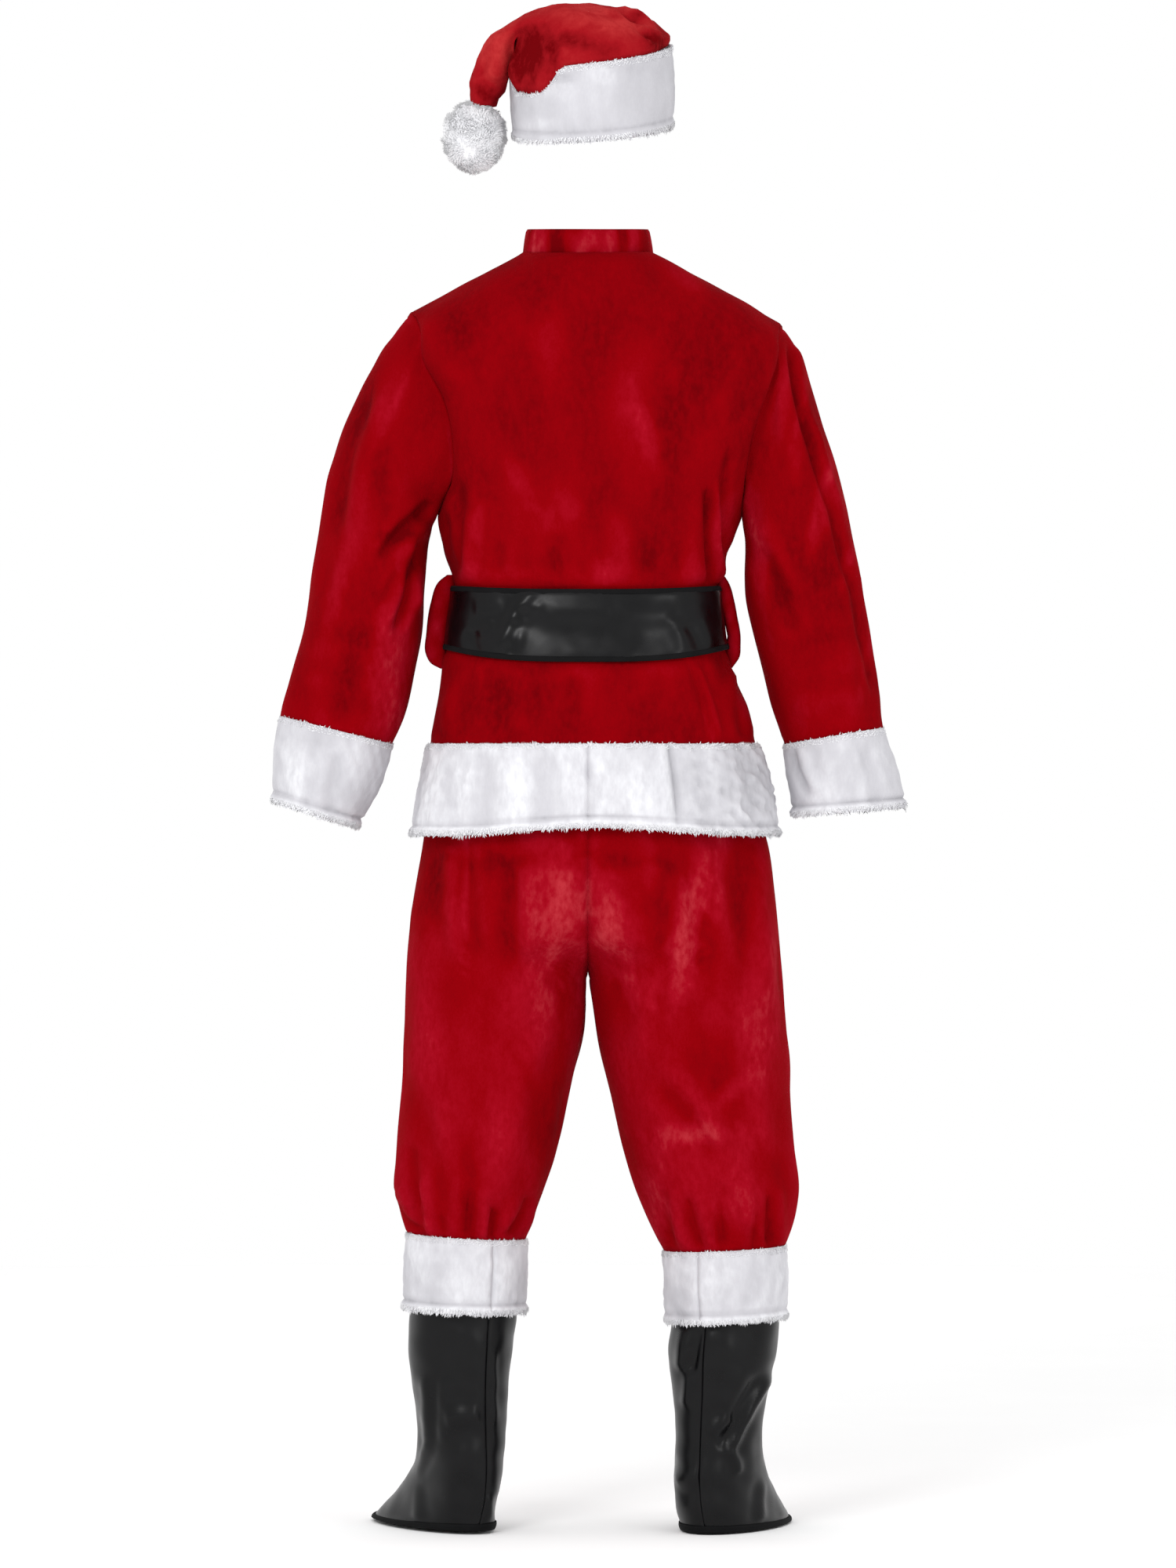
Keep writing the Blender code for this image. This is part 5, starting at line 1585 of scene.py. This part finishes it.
# %% Legs and their cuffs
RISE_GAP = -0.1  # the two legs overlap by a hair at the rise seam, so no light comes through
LEG_SEAM_AT = 0.64  # the cuff's own seam, as a share of the way from the outseam round the back
FORK_ROW = 6  # the crotch; the two legs are sewn together above it
LEG_SEAM_DEPTH, CUFF_SEAM_DEPTH = 0.6 * SEAM_DEPTH, 0.9
for name, hand in (("left", 1), ("right", -1)):
    rows = LEG_ROWS[name]
    coarse = np.array([np.concatenate([leg_ring(r, 1, hand), leg_ring(r, -1, hand)]) for r in rows])
    form, marks = smoothed(coarse, CLOTH_STEP)
    sewn = 1 - eased((np.arange(len(form)) - marks[FORK_ROW] + 3) / 4)
    for side_name, side in (("back", 1), ("front", -1)):
        part = form[:, : LEG_STEPS + 1] if side > 0 else form[:, LEG_STEPS + 1 :]
        part = (part[:, ::-1] if hand * side < 0 else part).copy()
        rise_edge = -1 if hand * side > 0 else 0
        part[..., 1] = side * np.maximum(side * part[..., 1], 0)
        out = outward(part)
        for edge in (0, -1):
            flat_y = np.abs(part[:, edge, 1]) < 1
            out[flat_y, edge] = unit(out[flat_y, edge] * (1, 0, 1))
        left_gap, right_gap = from_ends(part, 1)
        seams = np.minimum(left_gap, right_gap)
        top, low = from_ends(part, 0)
        calm = eased(seams / SEAM_CALM) * eased(top / SEAM_CALM) * eased(low / 8)
        lift = folds(part, LEG_FOLDS) + 1.7 * ripples(part, 100, 131) + 0.5 * ripples(part, 36, 132)
        lift = lift * calm - LEG_SEAM_DEPTH * dimple(seams, SEAM_WIDTH)
        outer = part + out * lift[..., None]
        inner = outer - PLUSH * out
        for skin in (outer, inner):
            skin[..., 0] = hand * np.maximum(hand * skin[..., 0], RISE_GAP)
            skin[:, rise_edge, 0] += (hand * RISE_GAP - skin[:, rise_edge, 0]) * sewn
        # painted shade in the folds' troughs and a painted highlight on their ridges
        nap = with_painted_fold_light(nap_at(part, LEG_NAP_AND_PAINTED_SHADOW, 133, 0.9) + 0.1, lift)
        sheet_piece(f"trouser_{side_name}_{name}", "cloth", (outer, inner), part, ["waistband_cloth"],
                    nap=nap)
    tube = np.array([
        np.concatenate([leg_ring(row, 1, hand)[:-1], leg_ring(row, -1, hand)[:0:-1]])
        for row in (rows[-1], *LEG_CUFF_ROWS[name])
    ])
    cuff, _ = smoothed(tube if hand > 0 else turned(tube), PILE_STEP)
    start = round(LEG_SEAM_AT * LEG_STEPS)
    start = start if hand > 0 else 2 * LEG_STEPS - start
    columns = [k % (2 * LEG_STEPS) for k in range(start, start + 2 * LEG_STEPS + 1)]
    lift = 0.8 * ripples(cuff, 60, 141) + 0.5 * ripples(cuff, 14, 142, EVEN)
    outer, inner, out = (part[:, columns] for part in plush_skins(cuff, LEG_CUFF_REACH, lift))
    seam_gap = np.minimum(*from_ends(outer, 1))
    outer = outer - out * (CUFF_SEAM_DEPTH * dimple(seam_gap, 2.6))[..., None]
    nap = pile_nap_and_painted_light(cuff, 0.14 + nap_at(cuff, [], 143), lift)[:, columns] - 0.12 * dimple(seam_gap, 3)
    sheet_piece(f"leg_cuff_{name}", "plush", (outer, inner), cuff[:, columns],
                [f"trouser_back_{name}_cloth"], tufts=(out, 150 + hand), nap=nap)

# %% Waistband: an elastic casing, gathered all round, under the jacket
WAIST_STEPS = 8
GATHER_MM = 13.0  # one pucker every so many millimetres
row = LEG_ROWS["left"][0]
right, left = leg_ring(row, 1, -1), leg_ring(row, 1, 1)
ahead, behind = leg_ring(row, -1, -1), leg_ring(row, -1, 1)
ring = np.concatenate([left[:-1], right[:0:-1], ahead[:-1], behind[:0:-1]])
heights = np.linspace(1, 0, WAIST_STEPS)[:, None, None]
waist_form = ring + UP * (0.3 + WAISTBAND_HEIGHT * heights)
out = outward(waist_form, closed=True)
along = run(np.concatenate([waist_form, waist_form[:, :1]], axis=1), 1)[:, :-1]
pucker = np.sin(2 * math.pi * along / GATHER_MM) * np.sin(math.pi * heights[..., 0]) * 1.2
pucker += 0.5 * ripples(waist_form, 40, 161)
outer = waist_form + out * pucker[..., None]
# The puckers' heights also paint the gathers, paler on their ridges and darker in their troughs: a
# painted highlight and painted shade.
sheet_piece("waistband", "cloth", (outer, outer - PLUSH * out), waist_form, ["waistband"],
            held="gathered", closed=True, nap=0.3 * pucker)

# %% [markdown]
# ## The boot covers
# A boot cover is a gaiter of soft black vinyl that hangs over the wearer's own shoe. Two side panels
# meet in a seam down the front and one down the back, and black tape binds the lower edge. Vinyl folds
# in long smooth curves and takes dents with a sharp glint, so its relief is wider and shinier than the
# cloth's. One closed ring is cut into the two panels at its seams, so their edges match.

# %% Sizes of the boot covers
# Boot covers: centre, half width across the foot, half length along it, and the way the toe points.
BOOT_ROWS = {
    # z, centre x, centre y, half width, half length, toe angle from straight ahead
    "left": (
        (-1240, 151, 0, 61, 62, 5),
        (-1268, 152, 0, 64, 64, 10),
        (-1294, 154, 0, 63, 66, 15),
        (-1360, 155, -2, 56, 64, 20),
        (-1410, 154.5, -6, 50, 62, 25),
        (-1446, 157.5, -14, 47, 72, 28),
        (-1482, 168.5, -32, 47, 92, 30),
        (-1524, 188.5, -60, 51, 122, 30),
    ),
    "right": (
        (-1250, 166, 0, 62, 62, 4),
        (-1279, 165, 0, 64, 64, 6),
        (-1304, 162, 0, 65, 66, 8),
        (-1362, 159, -2, 57, 64, 12),
        (-1410, 157, -6, 52, 62, 16),
        (-1448, 158, -14, 52, 72, 18),
        (-1484, 165, -32, 54, 92, 20),
        (-1526, 180, -60, 56, 120, 21),
    ),
}
BINDING_HEIGHT = 9
BOOT_STEPS = 112
# how many degrees the back seam strays, at the top and at the foot
SEAM_TURNS = {"left": (26.0, -5.0), "right": (21.0, -4.0)}


def boot_ring(row, hand, stray):
    """A boot cover's section, starting at its back seam, anticlockwise seen from above."""
    z, x, y, width, length, toe = row
    ahead = np.array([math.sin(math.radians(toe)), -math.cos(math.radians(toe)), 0])
    aside = np.array([-ahead[1], ahead[0], 0])
    ring = []
    for k in range(BOOT_STEPS):
        turn = -hand * 2 * math.pi * k / BOOT_STEPS - math.radians(stray)
        point = np.array([x, y, z]) - ahead * length * math.cos(turn) + aside * width * math.sin(turn)
        ring.append(point * np.array([hand, 1, 1]))
    return ring


print("a boot cover has", len(BOOT_ROWS["left"]), "sections")

# %% Folds and dents of the boot covers
BOOT_FOLDS = [
    # side, start x, start z, end x, end z, width, rise, bow
    (1, 172, -1389, 130, -1383, 11, 3.5, 0),
    (1, 196, -1338, 193, -1424, 7, 2.2, 0),
    (1, 186, -1340, 184, -1420, 5, -1.4, 0),
    (1, 190, -1418, 213, -1462, 5.5, 2.6, 0),
    (1, 226, -1462, 244, -1484, 9, -1.5, 0),
    (1, 216, -1474, 205, -1520, 8, 3.2, 0),
    (1, 232, -1480, 226, -1520, 7, -1.6, 0),
    (1, 114, -1306, 114, -1396, 4.5, 1.6, 0),
    (1, 120, -1480, 119, -1520, 6, 2.6, 0),
    (1, 180, -1284, 168, -1346, 15, -1.8, 0),
    (1, 146, -1420, 160, -1500, 16, 2.0, 6),
    (1, -219, -1338, -170, -1430, 5.5, 4.2, 2),
    (1, -170, -1426, -181, -1456, 6, 3.0, -3),
    (1, -204, -1336, -158, -1424, 8, -2.4, 2),
    (1, -144, -1404, -174, -1388, 9, 3.2, 0),
    (1, -136, -1278, -123, -1332, 5.5, -3.4, 0),
    (1, -117, -1280, -110, -1332, 7, 2.6, 0),
    (1, -122, -1334, -115, -1376, 6, 1.8, 0),
    (1, -106, -1464, -140, -1456, 10, 2.6, 0),
    (1, -216, -1466, -206, -1526, 6, 3.4, 2),
    (1, -226, -1490, -216, -1522, 7, 2.2, 0),
    (1, -186, -1270, -190, -1330, 15, -1.8, 0),
    (-1, 150, -1300, 156, -1400, 8, 3, 3),
    (-1, 150, -1430, 194, -1444, 8, -3.2, 3),
    (-1, 146, -1450, 200, -1468, 8, 3.2, 3),
    (-1, -150, -1300, -156, -1400, 8, 3, -3),
    (-1, -150, -1430, -194, -1446, 8, -3.2, -3),
    (-1, -146, -1450, -200, -1470, 8, 3.2, -3),
]
print(len(BOOT_FOLDS), "folds and dents in the vinyl")

# %% Panels and bindings
VINYL_STEP = 4.0  # the mesh's spacing on the vinyl
BOOT_FOLD_GAIN = 1.3
SEAM_RIDGE, SEAM_TROUGH = 0.35, 0.5  # a seam's turned edges stand out beside its stitched line
for name, hand in (("left", 1), ("right", -1)):
    rows = BOOT_ROWS[name]
    strays = np.linspace(*SEAM_TURNS[name], len(rows))
    coarse = np.array([boot_ring(row, hand, stray) for row, stray in zip(rows, strays)])
    form, _ = smoothed(coarse, VINYL_STEP)
    out = outward(form, closed=True)
    half = BOOT_STEPS // 2
    seam_at = np.concatenate([form, form[:, :1]], axis=1)
    along = run(seam_at, 1)
    around_mm, gap = along[:, -1:], along[:, :-1]
    to_front = np.abs(gap - along[:, half : half + 1])
    seams = np.minimum(np.minimum(gap, around_mm - gap), to_front)
    top, low = from_ends(form, 0)
    calm = eased((low - 6) / 14) * eased(top / 10)
    lift = BOOT_FOLD_GAIN * folds(form, BOOT_FOLDS) + 1.1 * ripples(form, 110, 171, (1, 1, 0.7))
    lift = (lift + 0.3 * ripples(form, 36, 172, EVEN)) * calm * eased(0.35 + seams / 18)
    lift += SEAM_RIDGE * dimple(seams - 4, 2.2) - SEAM_TROUGH * dimple(seams, 1.6)
    outer = form + out * lift[..., None]
    inner = outer - VINYL * out
    pieces = ("inner", "outer") if hand > 0 else ("outer", "inner")
    for piece, first in zip(pieces, (0, half)):
        columns = [k % BOOT_STEPS for k in range(first, first + half + 1)]
        skins = [skin[:, columns] for skin in (outer, inner)]
        sheet_piece(f"boot_{name}_{piece}", "vinyl", skins, form[:, columns],
                    [f"leg_cuff_{name}_plush"])
    edge, above = form[-1], form[-4]
    steps = np.linspace(1, 0, 4)[:, None, None]
    strip = edge + unit(above - edge) * BINDING_HEIGHT * steps
    strip_out = outward(strip, closed=True)
    face = np.full(strip.shape[:2], STRAP_CLEAR + TAPE_GAP)
    crown = np.array([0.3, 1.0, 1.0, 0.3])[:, None] * TAPE
    ribs = 0.12 * ripples(strip, 8, 175, (1, 1, 0.2))
    skins = [strip + strip_out * height[..., None] for height in (face + crown + ribs, face)]
    sheet_piece(f"boot_{name}_binding", "tape", skins, strip, [f"boot_{name}_inner_vinyl"],
                held="stretched", closed=True)

# %% [markdown]
# ## The hat
# A Santa hat is a cone of velour with a plush band. Its top bends over to the wearer's left and hangs
# down, with the ball at its end. The weight of the tail draws the seam down behind, so the velour
# pouches over the band there. A bent cone would pinch at the fold, so the crown is lofted
# through ovals that turn over with the bend.

# %% Sizes of the hat
# The hat's crown bends over to its left, and sits lower at the back than at the front.
HAT_ROWS = (
    # outer x, outer z, inner x, inner z, half depth, lean, dip at the left of the back
    (-101, 262, 92, 240, 108, 0.19, 32),
    (-104, 274, 92, 250, 109, 0.19, 24),
    (-66, 298, 90, 259, 96, 0.14, 8),
    (-12, 313, 88, 264, 80, 0.06, 0),
    (50, 306, 87, 266, 62, 0, 0),
    (98, 286, 90, 264, 46, 0, 0),
    (128, 256, 97, 252, 34, 0, 0),
    (144, 218, 102, 226, 26, 0, 0),
    (141, 195, 110, 196, 18, 0, 0),
)
HAT_BAND_ROWS = ((-103, 212, 93, 194, 111, 0.19, 14), (-100, 164, 90, 150, 108, 0.19, 0))
DIP_X = 70
DIP_WIDTH = 31
DIP_START = 40
POMPOM_HALF_WIDTH = 38
POMPOM_HALF_HEIGHT = 43
POMPOM_X = 137
HAT_STEPS = 96


def drooped(grid, rows):
    """The hat lowered at the back, most of all where its folded tail draws the seam down."""
    low = grid.copy()
    for ring, row in zip(low, rows):
        lean, dip = row[5:]
        behind = np.clip(ring[:, 1] / DIP_START, 0, 1)
        near = np.exp(-(((ring[:, 0] - DIP_X) / DIP_WIDTH) ** 4))
        ring[:, 2] -= lean * ring[:, 1] + dip * behind * near
    return low


print("the hat's tail reaches x", HAT_ROWS[-1][0], "mm")

# %% Folds, nap and painted light of the hat
HAT_FOLDS = [
    # side, start x, start z, end x, end z, width, rise, bow
    (1, 86, 258, 93, 234, 4, -2.5, 2),
    (1, 72, 262, 84, 228, 7, 3, 3),
    (1, 104, 268, 112, 216, 8, 4, 3),
    (1, -20, 312, -84, 274, 4, -7, 2),
    (1, -26, 304, -80, 268, 4, 5, 2),
    (1, -34, 300, -82, 262, 4, -6, 2),
    (1, -52, 300, -92, 268, 5, 4, 2),
    (1, 20, 296, -50, 262, 14, 3, 4),
    (1, 60, 290, 10, 260, 12, -3, 3),
    (1, 120, 250, 130, 220, 6, -3, 0),
    (1, 106, 216, 146, 208, 4, -2.5, 3),
    (-1, 80, 280, 60, 250, 8, -4, 3),
    (-1, -20, 308, -70, 262, 9, 4, 3),
    (-1, 30, 300, 0, 256, 12, -3, 3),
    (-1, 110, 240, 136, 216, 8, 4, 0),
]
# The dark patches lie in the crown's creases and under its folded tail: painted shade. The broad pale
# ones over the crown's top are painted highlights.
HAT_NAP_AND_PAINTED_LIGHT = [
    # side, x, z, half width, half height, lean, strength
    (1, 0, 296, 70, 22, 0, 0.45),
    (1, 110, 270, 22, 34, 0, 0.35),
    (1, 128, 236, 14, 26, 0, 0.25),
    (1, -50, 276, 26, 16, 0, 0.3),
    (1, 66, 242, 28, 34, 0, -0.62),
    (1, 26, 258, 30, 12, 0, -0.3),
    (1, -52, 292, 34, 6, -0.5, -0.6),
    (1, -76, 262, 14, 10, 0, -0.45),
    (1, 124, 206, 14, 8, 0, -0.5),
    (-1, 10, 280, 70, 24, 0, 0.3),
    (-1, 100, 260, 24, 30, 0, -0.3),
]
print(len(HAT_FOLDS), "folds and", len(HAT_NAP_AND_PAINTED_LIGHT), "patches of nap on the crown")

# %% Crown
TAIL_X, TAIL_TOP = 86, 270  # the tail lies beyond the one and below the other
TAIL_FILL, TAIL_DROP = 10.0, 7.0  # it swells towards the band, and its end is sewn down into the ball
POUCH_X, POUCH_SWELL = 76, 6.0  # the crown beside it swells towards the tail
CREASE_X, CREASE_Z, CREASE_BACK = 86, 265, 44.0  # the crease between them stays so far back
EASE_X, EASE_Z, EASE_WIDTH = 88, 264, 14  # and its cloth is eased smooth there
CREASE_EASE, CREASE_PASSES = 0.8, 40
FLARE = 4.0  # the crown's right side and the band's right top and left foot are drawn in so far
turns = np.linspace(0, 2 * math.pi, HAT_STEPS, endpoint=False)
crown_form, _ = smoothed(drooped(rings(HAT_ROWS, turns), HAT_ROWS), CLOTH_STEP)
out = outward(crown_form, closed=True)
top, low = from_ends(crown_form, 0)
calm = eased(top / 12) * eased(low / 14)
lift = (folds(crown_form, HAT_FOLDS) + 1.6 * ripples(crown_form, 60, 181, EVEN)
        + 0.5 * ripples(crown_form, 24, 182, EVEN)) * calm
tail = eased((crown_form[..., 0] - TAIL_X) / 6) * eased((TAIL_TOP - crown_form[..., 2]) / 12)
lift += TAIL_FILL * tail * np.clip(-out[..., 0], 0, 1) * eased((low - 4) / 12) * (top > 30)
pouch = eased((crown_form[..., 0] - POUCH_X) / 8) * eased(top / 8) * (top < 34)
lift += POUCH_SWELL * np.clip(out[..., 0], 0, 1) * pouch
lift -= FLARE * eased((-crown_form[..., 0] - 76) / 20)
outer = crown_form + out * lift[..., None]
crease = CREASE_BACK * dimple(outer[..., 0] - CREASE_X, 15) * dimple(outer[..., 2] - CREASE_Z, 25)
outer[..., 1] = np.where(outer[..., 1] > -1, np.maximum(outer[..., 1], crease), outer[..., 1])
inside = dimple(outer[..., 0] - EASE_X, EASE_WIDTH) * dimple(outer[..., 2] - EASE_Z, EASE_WIDTH)
inside = (CREASE_EASE * inside * (outer[..., 1] > 0))[1:-1, :, None]
for _ in range(CREASE_PASSES):
    beside = np.roll(outer, 1, axis=1) + np.roll(outer, -1, axis=1)
    outer[1:-1] += inside * ((beside[1:-1] + outer[:-2] + outer[2:]) / 4 - outer[1:-1])
outer -= UP * (TAIL_DROP * eased((14 - low) / 14))[..., None]
# painted shade in the folds' troughs and a painted highlight on their ridges
nap = with_painted_fold_light(nap_at(crown_form, HAT_NAP_AND_PAINTED_LIGHT, 183), lift)
skins = [skin[:, ::-1] for skin in (outer, outer - PLUSH * out)]
sheet_piece("hat_crown", "cloth", skins, crown_form, ["hat_band_plush"], closed=True,
            finish=(hat_velour, knit_backing), capped=True, nap=nap[:, ::-1])

# %% Hat band
HAT_REACH = 3.4  # how far its pile stands out
BAND_NAP = [
    # side, x, z, half width, half height, lean, strength
    (1, 84, 200, 12, 30, 0, -0.3),
    (1, 44, 200, 12, 16, 0, 0.3),
    (1, 50, 214, 20, 6, 0, -0.3),
    (1, 20, 226, 14, 14, 0, -0.25),
    (1, -18, 216, 22, 16, 0.4, 0.3),
    (1, -60, 230, 22, 14, 0, -0.2),
    (1, -80, 200, 16, 30, 0, 0.12),
    (1, 60, 160, 30, 8, 0, 0.35),
]
band_rows = (HAT_ROWS[0], *HAT_BAND_ROWS)
band_form, _ = smoothed(turned(drooped(rings(band_rows, turns), band_rows)), PILE_STEP)
lift = 0.9 * ripples(band_form, 50, 191) + 0.25 * ripples(band_form, 13, 192, EVEN)
down_band = np.linspace(0, 1, len(band_form))[:, None]
lift -= FLARE * (1 - down_band) * eased((-band_form[..., 0] - 70) / 24)
lift -= FLARE * down_band * eased((band_form[..., 0] - 64) / 20)
lift += folds(band_form, [(1, 50, 214, 12, 212, 5, -3, 0), (1, 60, 206, 16, 204, 7, 2, 0)])
outer, inner, out = plush_skins(band_form, HAT_REACH, lift, stitch=0.45)
nap = pile_nap_and_painted_light(band_form, nap_at(band_form, BAND_NAP, 193, 0.7) - 0.12, 0.2 * lift, 0.5)
sheet_piece("hat_band", "plush", (outer, inner), band_form, ["hat_band"], closed=True,
            tufts=(out, 195), nap=nap)

# %% [markdown]
# ## The pompom
# The ball at the tail's end is a stuffed disc of the same plush, drawn up so its pile stands out all
# round. Here it is a ball of points with its own soft dents, covered in longer locks like the bands',
# because they keep its fluffy outline in the mesh.

# %% The ball
BALL_TURNS, BALL_RINGS = 40, 24
BALL_GAP, LOCK_ROOM = 0.6, 4  # the ball's gap from the tail, and the room its locks take
middle = np.array([POMPOM_X, 0, HAT_ROWS[-1][1] - BALL_GAP - POMPOM_HALF_HEIGHT])
half_size = np.array([POMPOM_HALF_WIDTH, POMPOM_HALF_WIDTH, POMPOM_HALF_HEIGHT]) - LOCK_ROOM
points = [UP]
for i in range(1, BALL_RINGS):
    a = math.pi * i / BALL_RINGS
    for k in range(BALL_TURNS):
        b = 2 * math.pi * k / BALL_TURNS
        points.append(np.array([math.sin(a) * math.cos(b), math.sin(a) * math.sin(b), math.cos(a)]))
points = np.array([*points, -UP])
faces = []
for k in range(BALL_TURNS):
    n = (k + 1) % BALL_TURNS
    faces.append((0, 1 + k, 1 + n))
    last = 1 + (BALL_RINGS - 2) * BALL_TURNS
    faces.append((len(points) - 1, last + n, last + k))
    for i in range(BALL_RINGS - 2):
        a, b = 1 + i * BALL_TURNS, 1 + (i + 1) * BALL_TURNS
        faces.append((a + k, b + k, b + n, a + n))
dents = 1 + 0.035 * ripples(points * 40, 34, 201, EVEN)
dents = dents + 0.015 * ripples(points * 40, 14, 207, EVEN)
ball = mesh_piece("hat_pompom_plush", middle + points * half_size * dents[:, None], faces, [glowing_ball_fluff])
stand_in(ball, "white_plush", "hat_pompom")
print("the ball is", 2 * POMPOM_HALF_WIDTH, "mm across with its locks")

# %% Its locks
BALL_LOCKS = 11000
BALL_LOCK = (3.8, 1.3, 5.2)  # a lock's length along the ball, its width and its rise
draw = np.random.default_rng(202)
outs = unit(draw.normal(size=(BALL_LOCKS, 3)))
feet = middle + outs * half_size * 0.98
drift = unit(np.stack([ripples(feet, 30, 203 + k, EVEN) for k in range(3)], 1))
swirl = unit(np.cross(outs, drift))
clump = np.clip(1 + 0.2 * ripples(feet, 12, 208, EVEN), 0.8, 1.35)
size = draw.uniform(0.6, 1.3, BALL_LOCKS) * clump
sizes = (share * size for share in BALL_LOCK)
locks("hat_pompom_tufts", feet, outs, swirl, *sizes, 206, glowing_ball_fluff, 0.5)
print("the pompom has", BALL_LOCKS, "locks")
